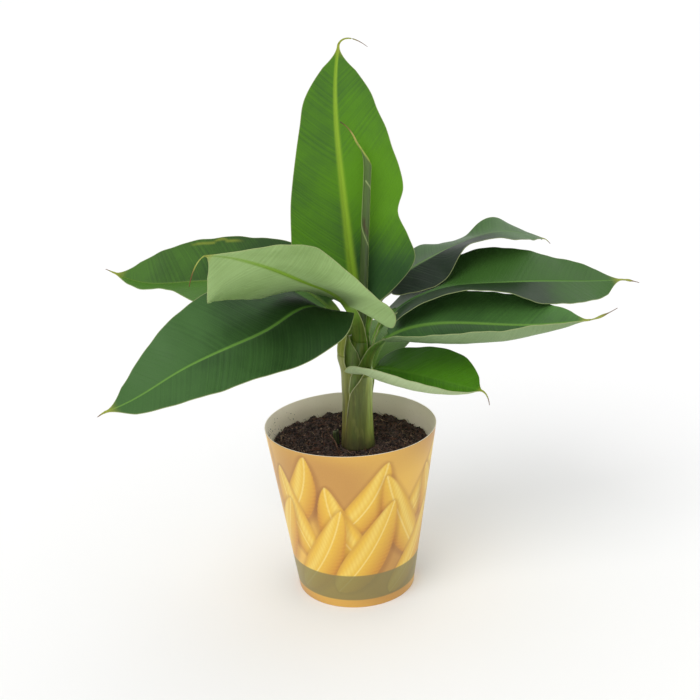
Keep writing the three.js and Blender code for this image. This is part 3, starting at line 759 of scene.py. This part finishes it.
def rib_path(leaf, heights):
    """Where the rib runs: down the stem below the foot, and along the leaf's own line above it."""
    foot = np.array(leaf["foot"], float)
    length = leaf["stalk"] + leaf["blade"]
    steps, _, _ = growth_frame(leaf, (np.arange(MIDRIB_STEPS) + 0.5) / MIDRIB_STEPS)
    path = np.concatenate([foot[None], foot + np.cumsum(steps, 0) * length / MIDRIB_STEPS])
    place = np.clip(heights / length, 0, 1) * MIDRIB_STEPS
    above = np.stack([np.interp(place, np.arange(MIDRIB_STEPS + 1), path[:, k]) for k in range(3)], -1)

    z = np.minimum(foot[2] + heights, foot[2])
    axis, stem_radius = stem_at(z)
    outwards = ring_at(rib_turn(leaf, z), 1, 0)
    foot_axis, foot_radius = stem_at(foot[2:3])
    strays = foot - foot_axis[0] - ring_at(rib_turn(leaf, foot[2:3]), foot_radius, 0)[0]
    below = axis + outwards * stem_radius[:, None] + strays * smooth(-16, 0, heights)[:, None]
    flare = leaf["flare"] * np.exp(-(((heights - FLARE_AT) / FLARE_SPREAD) ** 2))
    return np.where(heights[:, None] < 0, below, above) + outwards * flare[:, None], outwards


def margin_wave(name, k, heights):
    """The soft ups and downs of a blade's margin."""
    size = 0.7 if name == "leaf_tall" else 1.1
    draw = np.random.default_rng(100 + 2 * list(LEAVES).index(name) + k)
    phases = draw.uniform(0, 2 * math.pi, 3)
    rates = [2 * math.pi / draw.uniform(low, high) for low, high in WAVE_LENGTHS]
    return size * sum(a * np.sin(heights * rate + phase) for a, rate, phase in zip(WAVE_SIZES, rates, phases))


def leaf_rows(name, heights, shares):
    """The middle skin of a leaf and its sheath, as rows of points from right margin to left.

    Heights run along the midrib in millimetres, from 0 at the foot of the stalk; the sheath's are below 0.
    Also gives how far each point lies along and across, and how far it is from the margin.
    """
    leaf = LEAVES[name]
    foot_z = leaf["foot"][2]
    t = (heights - leaf["stalk"]) / leaf["blade"]
    in_blade = np.clip(t, 0, 1)
    ahead, side, up = growth_frame(leaf, np.clip(heights / (leaf["stalk"] + leaf["blade"]), 0, 1))
    roll = np.radians(through(leaf["roll"], in_blade))[:, None]
    up = up * np.cos(roll) - side * np.sin(roll)

    middle, outwards = rib_path(leaf, heights)
    free = smooth(-10, 5, heights)[:, None]
    up = unit(up * free - outwards * (1 - free))
    ahead_below = unit(rib_path(leaf, heights + 0.5)[0] - rib_path(leaf, heights - 0.5)[0])
    ahead = unit(ahead * free + ahead_below * (1 - free))
    side = unit(np.cross(up, ahead))
    up = np.cross(ahead, side)
    _, stem_radius = stem_at(np.minimum(foot_z + heights, foot_z))

    depth = leaf["rise"] - heights
    opening = smooth(OPENING_FROM, OPENING_TO, t)
    shape = blade_outline(leaf, t)
    waving = opening * smooth(0, 0.3, shape)
    loosened = smooth(0, LOOSENS_OVER, -depth)
    radius = between(stem_radius, STALK_RADIUS, loosened)
    halves = []
    for k, sign in ((1, -1), (0, 1)):
        width = leaf["half_width"][k]
        held = between(stem_radius * wrap_of(leaf, k, depth), STALK_HALF, loosened)
        open_half = width * shape * through(leaf["trim"][k], in_blade)
        half = np.hypot(open_half, np.maximum(held * (1 - in_blade), TIP_HALF))
        fold = np.radians(through(leaf["fold"][k], in_blade)) * opening
        curl = between(held / radius, np.radians(through(leaf["curl"][k], in_blade)), opening)
        lobe = leaf["lobe"][k] * width * np.minimum(1, 2 * shape)
        lobe = (lobe * np.clip(1 - in_blade / LOBE_REACH, 0, 1) ** LOBE_FADE)[:, None] * shares**2
        stride = np.diff(shares, prepend=0) * half[:, None]
        mean = (shares + np.concatenate([[0], shares[:-1]])) / 2
        angle = fold[:, None] + curl[:, None] * mean
        out, lift = np.cumsum(stride * np.cos(angle), 1), np.cumsum(stride * np.sin(angle), 1)
        lift = lift + (margin_wave(name, k, heights) * waving)[:, None] * shares**2
        points = middle[:, None] + sign * side[:, None] * out[..., None] + up[:, None] * lift[..., None]
        points = points - ahead[:, None] * lobe[..., None]
        halves.append((points, heights[:, None] - lobe, shares * half[:, None], (1 - shares) * half[:, None]))
    points, along, across, margin = (np.concatenate([r[:, :0:-1], l], 1) for r, l in zip(*halves))
    for place, push in leaf["eased"]:
        near = np.exp(-((np.linalg.norm(points - place, axis=-1) / EASE_REACH) ** 2))
        points = points + near[..., None] * push
    return points, along, across, margin


def two_faced(points, above, below):
    """A closed body round a skin: its upper grid, its lower grid, the two margins, and the two cut ends."""
    normals = unit(np.cross(np.gradient(points, axis=0), np.gradient(points, axis=1)) + 1e-12)
    rows, columns = points.shape[:2]
    upper = (points + normals * above[..., None]).reshape(-1, 3)
    lower = (points - normals * below[..., None]).reshape(-1, 3)
    under = rows * columns

    def strip(first, step, count, flip):
        """Faces that join the two grids along a line of edge points."""
        edge = first + step * np.arange(count)
        faces = np.stack([edge, edge + under, edge + step + under, edge + step], -1)
        return faces[:, [0, 3, 2, 1]] if flip else faces

    margins = [strip(0, columns, rows - 1, False), strip(columns - 1, columns, rows - 1, True)]
    ends = [strip(0, 1, columns - 1, True), strip((rows - 1) * columns, 1, columns - 1, False)]
    grids = [grid_faces(rows, columns)[:, ::-1], grid_faces(rows, columns, start=under)]
    return np.concatenate([upper, lower]), [*grids, np.concatenate(margins), np.concatenate(ends)]


def leaf_body(name, heights, shares):
    """A leaf's or sheath's skin, how thick it is above and below, and what its points need for colours."""
    leaf = LEAVES[name]
    points, along, across, margin = leaf_rows(name, heights, shares)
    middle, _ = stem_at(points[..., 2])
    inwards = unit((middle - points) * [1, 1, 0])
    tucked = SHEATH_STEP * covered(name, points) * smooth(14, 0, heights)[:, None]
    points = points + inwards * tucked[..., None]
    t = np.clip((heights - leaf["stalk"]) / leaf["blade"], 0, 1)[:, None]
    opened = smooth(0, leaf["stalk"], heights)[:, None]
    from_margin = across / (across + margin)
    sheath = between(SHEATH_THICK_RIB, SHEATH_THICK_EDGE, smooth(0.05, 0.95, from_margin))
    sheath = between(sheath, np.minimum(sheath, STALK_INNER), smooth(-14, -1, heights)[:, None])
    rib_size = between(leaf["half_width"][0] / 44, 0.25, t**0.8)
    groove = 0.75 * rib_size * np.exp(-((across / (1.5 * rib_size)) ** 2))
    ridge = 1.9 * rib_size * np.exp(-((across / (2.1 * rib_size)) ** 2))
    above = between(sheath, BLADE_HALF_THICK - groove, opened)
    below = (BLADE_HALF_THICK + ridge) * opened
    return points, along, across, margin, above, below


SHEATH_TONES = {
    "leaf_back_low": "6f8138", "leaf_front_right_low": "6d7c3a", "leaf_front_right": "6c8f38",
    "leaf_front_left_low": "8e9440", "leaf_right": "6a9038", "leaf_back_left": "83a04c",
    "leaf_front_left_high": "5c8226", "leaf_back_right": "5a8030", "leaf_tall": "62892e",
}


def sheath_colours(name, points, margin):
    """Green above, through yellow and brown to the dark foot, with a pale thin margin; the right side is
    lightened, partly its paler green and partly painted light.
    """
    middle, stem_radius = stem_at(points[..., 2])
    offset = points - middle
    around = np.arctan2(offset[..., 1], offset[..., 0])
    away = smooth(1, 8, np.hypot(offset[..., 0], offset[..., 1]) - stem_radius)
    z = points[..., 2]
    streak = 0.5 + 0.5 * ripples(around * 11, z / 14, 2.2, 31 + OUTSIDE_IN.index(name)) / 1.5
    leftness = smooth(0.2, 1, -np.cos(around))
    rightness = smooth(0.25, 0.9, np.cos(around))
    # The right side is lightened up to 2.65 times: partly the stem's paler green there, partly painted light
    # on the side the lamps leave in shade.
    lit = between(0.76, 2.65, np.maximum(0.2 * leftness, rightness))
    aside = np.abs(nearest_turn(around - math.radians(SLIT_AT_DEG))) * stem_radius
    slit = smooth(0.9, 0.3, aside) * smooth(143, 147, z) * smooth(158, 153, z)
    green = painted(SHEATH_TONES[name], ("7e8a36", smooth(0.15, 0.9, streak) * 0.6))
    return painted(
        green * between(lit, 1.15, away)[..., None],
        ("7f6f36", smooth(205, 128, z) * between(0.12, 0.8, leftness) * smooth(0, 1, streak + 0.3)),
        ("4c4f2b", 0.55 * smooth(0.55, 1.0, streak) * smooth(190, 150, z)),
        ("48402a", 0.8 * smooth(137, STEM_FOOT, z)),
        ("2e2216", 0.85 * slit),
        ("5a4a30", 0.5 * smooth(0.2, -0.6, margin - 1.4) * smooth(195, 140, z)),
        ("cfd19a", 0.85 * smooth(0.75, 0.15, margin) * smooth(128, 160, z)),
    )


sheath_shares = np.concatenate([np.linspace(0, 0.94, 17), [0.965, 0.982, 0.993, 1]])
sheath_points, sheath_faces, sheath_skins, sheath_ends = [], [], [], []
start = 0
for name, leaf in LEAVES.items():
    foot_z = leaf["foot"][2]
    drop = foot_z - STEM_FOOT
    heights = -drop * (1 - np.linspace(0, 1, SHEATH_ROWS)) ** 1.25
    points, along, across, margin, above, below = leaf_body(name, heights, sheath_shares)
    level = smooth(FOOT_LEVEL_OVER - drop, -drop, heights)[:, None]
    points[..., 2] = between(points[..., 2], (foot_z + heights)[:, None], level)
    body, faces = two_faced(points, above, below)
    sheath_points.append(body)
    sheath_faces.append(np.concatenate(faces[:3]) + start)
    sheath_ends.append(faces[3] + start)
    sheath_skins += [sheath_colours(name, points, margin).reshape(-1, 3)] * 2
    start += len(body)

core_middles, core_radii = stem_at(np.linspace(STEM_FOOT, CORE_TOP, CORE_ROWS))
core = core_middles[:, None] + ring_at(all_round(CORE_SIDES), 1, 0) * (core_radii - CORE_INSET)[:, None, None]
sheath_points.append(core.reshape(-1, 3))
sheath_faces.append(grid_faces(CORE_ROWS, CORE_SIDES, closed=True, start=start))
sheath_skins.append(np.tile(tint("4a5c28"), (CORE_ROWS * CORE_SIDES, 1)))


def fibrous(finish):
    """The skin of sheaths and stalks: their stored colour under upright fibres and pale blotches."""
    fibres = grain(finish, 600, 4, (1, 1, 0.08))
    blotches = (grain(finish, 140, 3, (1, 1, 0.35)), 0.58, 0.72, 0, 0.25, "a9a65c")
    skin = stored(finish, "skin", "Color")
    return layered(finish, skin, (fibres, 0.4, 0.7, 0, 0.35, "2f3a1a"), blotches), fibres


sheath_finish = finish_named("stem_sheath", 0.5, {"Coat Weight": 0.08, "Coat Roughness": 0.35})
dress(sheath_finish, *fibrous(sheath_finish), 0.25, 0.7)
sheath_faces = [np.concatenate(sheath_faces), np.concatenate(sheath_ends)]
stem = make_piece(
    "stem_sheaths", np.concatenate(sheath_points), sheath_faces, [sheath_finish],
    replaces=["stem"], hard=1,
)
give(stem, "skin", np.concatenate(sheath_skins))

# New leaf. The youngest leaf is still rolled tight: one blade wound on itself into a slim dark cone.
# Its free edge shows as a pale line that climbs round it, and its soft tip has bent over and dried.
SPEAR_PATH = np.array([
    (12, -2.4, 211.3), (13.2, -2.3, 232), (14.6, -2.6, 256), (16.3, -3, 281), (18.1, -3, 307), (20, -3, 332),
    (20.2, -3, 341), (17.4, -3, 349.5), (13.6, -3, 356), (10.2, -3, 363), (6.2, -3, 368.3), (1.8, -3, 371.8),
])
SPEAR_RADIUS = [3.6, 3.5, 3.4, 3.3, 3.1, 2.9, 2.85, 1.0, 0.8, 0.55, 0.35, 0.45]
SPEAR_ROWS = 340
SPEAR_TURNS = 56
LINE_HEIGHTS = [205, 279, 297, 345]
LINE_TURNS_DEG = [-12, -15, -165, -174]
FOLD_LINES = [([279, 341], [-8, -8]), ([322, 324, 328.5, 329], [-8, -30, -110, -116])]
FOLD_RISE = 0.15
SLIT_FROM_EDGE = 17.5
ROLL_TOP = 342

spear_shares = np.linspace(0, 1, SPEAR_ROWS)
spear_middle = path_through(SPEAR_PATH, spear_shares)
spear_z = spear_middle[:, 2]
spear_ahead = unit(np.gradient(spear_middle, axis=0))
spear_depth = unit(np.array([0, 1.0, 0]) - spear_ahead * spear_ahead[:, 1:2])
spear_side = np.cross(spear_depth, spear_ahead)
spear_radius = (through(SPEAR_RADIUS, spear_shares) * between(0.55, 1, smooth(210, 232, spear_z)))[:, None]
spiral = np.linspace(0, 1, SPEAR_TURNS)
turn = np.radians(np.interp(spear_z, LINE_HEIGHTS, LINE_TURNS_DEG))[:, None] + 2 * math.pi * spiral
folds = np.zeros(turn.shape)
for heights, turns_deg in FOLD_LINES:
    line = np.radians(np.interp(spear_z, heights, turns_deg))[:, None]
    aside = np.abs(nearest_turn(turn - line)) * spear_radius
    inside = (spear_z > heights[0]) & (spear_z < heights[-1])
    folds = np.maximum(folds, smooth(0.9, 0.35, aside) * inside[:, None])
reach = spear_radius * (0.84 + 0.16 * spiral) + FOLD_RISE * folds
sideways = spear_side[:, None] * (np.cos(turn) * reach)[..., None]
spear_points = spear_middle[:, None] + sideways + spear_depth[:, None] * (np.sin(turn) * reach)[..., None]

new_leaf = finish_named("new_leaf_skin", 0.45)
new_lines = grain(new_leaf, 700, 3, (1, 1, 0.06))
new_skin = stored(new_leaf, "skin", "Color")
new_colour = layered(new_leaf, new_skin, (new_lines, 0.35, 0.7, "5f7638"), (0.55, new_skin))
dress(new_leaf, new_colour, new_lines, 0.15, 0.6)
spear = make_piece(
    "new_leaf_rolled", spear_points.reshape(-1, 3), ringed_faces(SPEAR_ROWS, SPEAR_TURNS, flip=True),
    [new_leaf], replaces=["leaf_spear"], hard=2,
)
x, z = spear_points[..., 0], spear_points[..., 2]
from_edge = (1 - spiral) * 2 * math.pi * spear_radius
slit = smooth(2.4, 0.8, np.abs(from_edge - SLIT_FROM_EDGE)) * smooth(286, 291, z) * smooth(304, 299, z)
cut = smooth(-2.0, -0.3, z - ROLL_TOP - 1.5 * (23 - x)) * smooth(ROLL_TOP - 4, ROLL_TOP - 1, z)
skin = painted(
    "40502a",
    ("4c6728", smooth(250, 330, z)),
    ("43311f", 0.8 * slit),
    ("a9b878", 0.9 * np.maximum(smooth(1.1, 0.4, from_edge), folds)),
    ("a4b04a", cut),
    ("b9a95a", smooth(352, 362, z)),
    ("8a5e38", smooth(362, 368, z)),
    ("4c2a20", smooth(368.5, 371, z)),
)
give(spear, "skin", skin.reshape(-1, 3))

# Leaves. Nine open blades on channelled stalks, each a soft waxy sheet with a strong midrib.
# Fine veins leave the midrib close together and bend towards the tip; the underside is paler and duller.
# Margins are thin and pale, and each blade ends in a drip tip that dries to a thread.
VEIN_SLANTS = dict.fromkeys(LEAVES, (0.5, 0.5)) | {"leaf_tall": (0.7, 1.05)}
VEIN_BEND = 0.004
BLADE_ROWS = 132
STALK_ROWS = 16
TAIL_ROWS = 16
TAIL_END_HALF = 0.14
SEAM = 0.04
blade_shares = np.concatenate([0.95 * np.linspace(0, 1, 25) ** 1.35, [0.972, 0.987, 0.996, 1]])

# Each leaf has five tones: upper face light and dark, midrib, underside light and dark. A share runs from
# base to tip on the left and the right half, and takes each point from the dark tone at 0 to the light one at
# 1;
# it is partly the leaf's own tone and partly painted shade and light.
LEAF_TONES = {
    "leaf_tall": ("5c9410", "31542a", "96ba32", "8fa968", "7d9c5a"),
    "leaf_front_left_high": ("477a20", "335a1c", "7ea62c", "b2d08c", "86a560"),
    # Its light tone is bluish: a painted sheen.
    "leaf_front_left_low": ("406730", "1e3a18", "6c9a40", "8fa57c", "7c9a68"),
    "leaf_back_left": ("4a7820", "234214", "6f8f30", "7a9a68", "688a54"),
    "leaf_right": ("3d6428", "1c3416", "5f8a3c", "7d9a72", "6c8a60"),
    "leaf_back_right": ("4c703c", "1a2a1b", "6a8a50", "5c7454", "4c6448"),
    "leaf_front_right": ("4e7c38", "36542e", "6c9a3c", "9ab082", "7e9668"),
    "leaf_front_right_low": ("508816", "345f12", "6c9a38", "b8c89c", "9cb07e"),
    "leaf_back_low": ("628e30", "527828", "84a450", "7d9868", "6c8a58"),
}
# Painted shade and light with the leaf's own tone: leaf_front_left_low, for one, is darkest at its base,
# where leaf_front_left_high shades it.
LEAF_SHADE_AND_TONE = {
    "leaf_tall": ([0.5, 0.55, 0.65, 0.6, 0.5], [-0.05, 0.08, 0.68, 1, 0.95, 0.75, 0.6, 0.42, 0.35]),
    "leaf_front_left_high": ([0.9, 0.75, 0.4, 0.6, 0.7], [1, 0.9, 0.4, 0.6, 0.7]),
    "leaf_front_left_low": ([-0.5, 0.3, 0.75, 0.8], [-0.3, 0.3, 1, 0.9]),
    "leaf_back_left": ([0.5, 0.9, 1], [0.2, 0.2, 0.5, 0.75]),
    "leaf_right": ([1, 1, 0.95, 0.95], [0.15, -0.1, -0.25, 0.2, 0.95, 0.9]),
    "leaf_back_right": ([0.3, 0.75, 1], [0, 0, 0.2, 0.9, 0.8]),
    "leaf_front_right": ([0.3, 0.6, 0.7], [0.2, 0.3, 0.4]),
    "leaf_front_right_low": ([0.2, 0.7, 0.8], [0.3, 0.6]),
    "leaf_back_low": ([0.5], [0.5]),
}
# A worn streak runs between two shares of the blade's length, so far inside its right margin.
WORN_STREAKS = {"leaf_back_left": (0.46, 0.66, 3.6)}
WORN_SHARE = 0.42
RIB_WIDTH = dict.fromkeys(LEAVES, 1.8) | {"leaf_tall": 5.0, "leaf_front_left_high": 5.0}
RIB_SHOWS = dict.fromkeys(LEAVES, [0.8, 0.9, 0.8]) | {
    "leaf_front_left_high": [0.9, 1, 0.8, 0.25], "leaf_right": [0, 0, 0.5, 1, 0.8, 0.7],
    "leaf_front_right_low": [0.4, 0.15, 0.1], "leaf_back_left": [0.5],
}


def with_more(finish, a, b, times=1.0):
    """The sum of one output and some times another."""
    return add(finish, "Math", {0: b, 1: times, 2: a}, operation="MULTIPLY_ADD").outputs[0]


def blade_finish(name, light, dark, rib, upper):
    """A leaf face: soft clouds of two greens that carry painted shade and light, fine veins, a pale midrib
    and margin, a drying tip.
    """
    finish = finish_named(name, 0.42, {"Specular IOR Level": 0.22 if upper else 0.15})
    vein_place = add(finish, "CombineXYZ", {0: stored(finish, "vein"), 1: 0.0, 2: 0.0}).outputs[0]
    main = grain(finish, 0.42, 2, where=vein_place)
    fine = grain(finish, 1.9, 3, where=vein_place)
    cells = grain(finish, 900, 3)
    drift = grain(finish, 26, 4)
    # The stored share and noise mix the dark and light greens: partly the leaf's own tone, partly painted
    # shade and light.
    shade_and_tone = with_more(finish, stored(finish, "shade_and_tone"), span(finish, drift, 0.3, 0.7, -0.17, 0.17))
    shade_and_tone = with_more(finish, shade_and_tone, span(finish, main, 0.35, 0.7, -0.1, 0.14))
    shade_and_tone = with_more(finish, shade_and_tone, span(finish, fine, 0.35, 0.7, -0.1, 0.12))
    reach = stored(finish, "reach")
    colour = layered(
        finish, dark,
        (shade_and_tone, -0.1, 1.1, light),
        (fine, 0.56, 0.78, 0, 0.13 if upper else 0.07, rib),
        (cells, 0.55, 0.8, 0, 0.15, dark),
        (stored(finish, "worn"), "a4aa36"),
        (stored(finish, "midrib"), rib),
        (stored(finish, "stalk"), fibrous(finish)[0]),
        (stored(finish, "margin"), 0.2, 0.55, 0.6, 0, "a8b078"),
        (reach, 0.94, 1, 0, 0.75, "a3a63e"),
        (reach, 1.035, 1.075, "6d4a2c"),
    )
    relief = with_more(finish, with_more(finish, main, fine, 0.4), cells, 0.1)
    dress(finish, colour, relief, 0.55 if upper else 0.7, 0.8)
    dull, duller = (0.4, 0.52) if upper else (0.55, 0.68)
    drive(finish, "Roughness", span(finish, drift, 0.3, 0.7, dull, duller))
    return finish


def drip_tip(leaf, points):
    """Rows of points that carry a blade on into its thread-like tip."""
    length, heading, climb = leaf["tail"]
    heading, climb = math.radians(heading), math.radians(climb)
    end = ring_at(heading, math.cos(climb), math.sin(climb))
    half_way = points.shape[1] // 2
    middle = points[-1, half_way]
    ahead = unit(middle - points[-3, half_way])
    side = unit(points[-1, -1] - points[-1, 0])
    offsets = np.concatenate([-blade_shares[:0:-1], blade_shares])
    rows = []
    for share in np.linspace(0, 1, TAIL_ROWS + 1)[1:]:
        way = unit(between(ahead, end, math.sqrt(share)))
        middle = middle + way * length / TAIL_ROWS
        swell = math.sin(math.pi * min(1, max(0, share - 0.12) / 0.6)) ** 2
        half = between(TIP_HALF, TAIL_END_HALF, share**0.6) + leaf["flag"] * swell
        rows.append(middle + np.outer(offsets * half, unit(side - way * (way @ side))))
    return rows


def with_tail(grid, last):
    """Values over a blade, with the rows of its drip tip added."""
    return np.concatenate([grid, np.broadcast_to(last, (TAIL_ROWS, grid.shape[1]))])


for name, leaf in LEAVES.items():
    light, dark, rib, under_light, under_dark = LEAF_TONES[name]
    stalk, blade = leaf["stalk"], leaf["blade"]
    t = np.linspace(0, 1, BLADE_ROWS)
    heights = stalk + blade * t * np.minimum(1, 0.4 + 0.6 * t / 0.25)
    heights = np.concatenate([np.linspace(SEAM, stalk, STALK_ROWS, endpoint=False), heights])
    points, along, across, margin, above, below = leaf_body(name, heights, blade_shares)
    skin = sheath_colours(name, points, margin)
    skin = np.concatenate([skin, np.broadcast_to(skin[-1], (TAIL_ROWS, *skin[-1].shape))])
    points = np.concatenate([points, drip_tip(leaf, points)])
    to_end = 1 - np.linspace(0, 1, TAIL_ROWS + 1)[1:, None]
    above = with_tail(above, 0.16)
    below = with_tail(below, 0.22 + 0.5 * np.exp(-(to_end**2)) * to_end**2)
    body, faces = two_faced(points, above, below)

    t = ((heights - stalk) / blade)[:, None]
    in_blade = np.clip(t, 0, 1)
    every = np.ones((1, across.shape[1]))
    rib_width = RIB_WIDTH[name] * (1 - 0.82 * in_blade**0.7) + 0.25
    midrib = smooth(1.25, 0.35, across / rib_width) * through(RIB_SHOWS[name], t)
    midrib = np.maximum(midrib, smooth(stalk + 3, stalk - 8, heights)[:, None] * 0.85)
    lies_left = smooth(-3, 3, np.arange(across.shape[1]) - across.shape[1] // 2)
    # Each half's share from base to tip: partly the leaf's own tone, partly painted shade and light.
    shade_and_tone_left, shade_and_tone_right = (through(values, t) for values in LEAF_SHADE_AND_TONE[name])
    worn = 0 * margin
    if name in WORN_STREAKS:
        low, high, inset = WORN_STREAKS[name]
        wander = inset + 1.2 * np.sin(along / 4.6) + 0.6 * np.sin(along / 2.3 + 1)
        inside = smooth(low - 0.03, low + 0.03, t) * smooth(high + 0.03, high - 0.03, t)
        worn = WORN_SHARE * smooth(1.8, 0.7, np.abs(margin - wander)) * inside * (1 - lies_left)
    left_slant, right_slant = VEIN_SLANTS[name]
    slant = between(right_slant, left_slant, lies_left)
    kept = {
        "vein": with_tail(along - slant * across - VEIN_BEND * across**2, 0),
        "midrib": with_tail(midrib, 0),
        "margin": with_tail(margin, 1),
        "reach": with_tail(in_blade * every, 1.1 - 0.1 * to_end),
        "shade_and_tone": with_tail(shade_and_tone_right * (1 - lies_left) + shade_and_tone_left * lies_left, 0.5),
        "stalk": with_tail(smooth(stalk + 2, 0.35 * stalk, heights)[:, None] * every, 0),
        "worn": with_tail(worn, 0),
    }
    upper = blade_finish(name + "_upper", light, dark, rib, True)
    under = blade_finish(name + "_under", under_light, under_dark, rib, False)
    finish_of = np.repeat([0, 1, 1, 1], [len(f) for f in faces])
    blade_name = "blade_" + name.removeprefix("leaf_")
    piece = make_piece(blade_name, body, faces, [upper, under], finish_of, replaces=[name], hard=1)
    for attribute, grid in kept.items():
        give(piece, attribute, np.tile(grid.reshape(-1), 2))
    give(piece, "skin", np.tile(skin.reshape(-1, 3), (2, 1)))

# Floor and light. A plain white floor that runs out of sight under an even white sky.
# One wide soft light stands high at the front left, and a weaker one behind lifts the far leaves.
FLOOR_HALF = 300.0
FLOOR_WHITE = (0.95, 0.95, 0.95, 1)
SKY_STRENGTH = 0.72
floor_mesh = bpy.data.meshes.new("floor")
floor_corners = [(x * FLOOR_HALF, y * FLOOR_HALF, 0) for x, y in ((-1, -1), (1, -1), (1, 1), (-1, 1))]
floor_mesh.from_pydata(floor_corners, [], [(0, 1, 2, 3)])
floor = bpy.data.objects.new("floor", floor_mesh)
bpy.context.scene.collection.objects.link(floor)
floor_finish = finish_named("floor_white", 0.9, {"Base Color": FLOOR_WHITE, "Specular IOR Level": 0.1})
floor_mesh.materials.append(floor_finish)

world = bpy.data.worlds.new("sky")
world.use_nodes = True
world.node_tree.nodes["Background"].inputs["Color"].default_value = (1, 1, 1, 1)
world.node_tree.nodes["Background"].inputs["Strength"].default_value = SKY_STRENGTH
bpy.context.scene.world = world


def soft_light(name, comes_from, strength, spread_deg):
    """A wide even light from far away."""
    light = bpy.data.lights.new(name, "SUN")
    light.energy = strength
    light.angle = math.radians(spread_deg)
    holder = bpy.data.objects.new(name, light)
    bpy.context.scene.collection.objects.link(holder)
    holder.matrix_world = Vector(comes_from).to_track_quat("Z", "Y").to_matrix().to_4x4()


soft_light("light_front", (-0.55, -0.75, 1.0), 1.15, 40)
soft_light("light_back", (0.6, 0.8, 1.1), 0.4, 60)
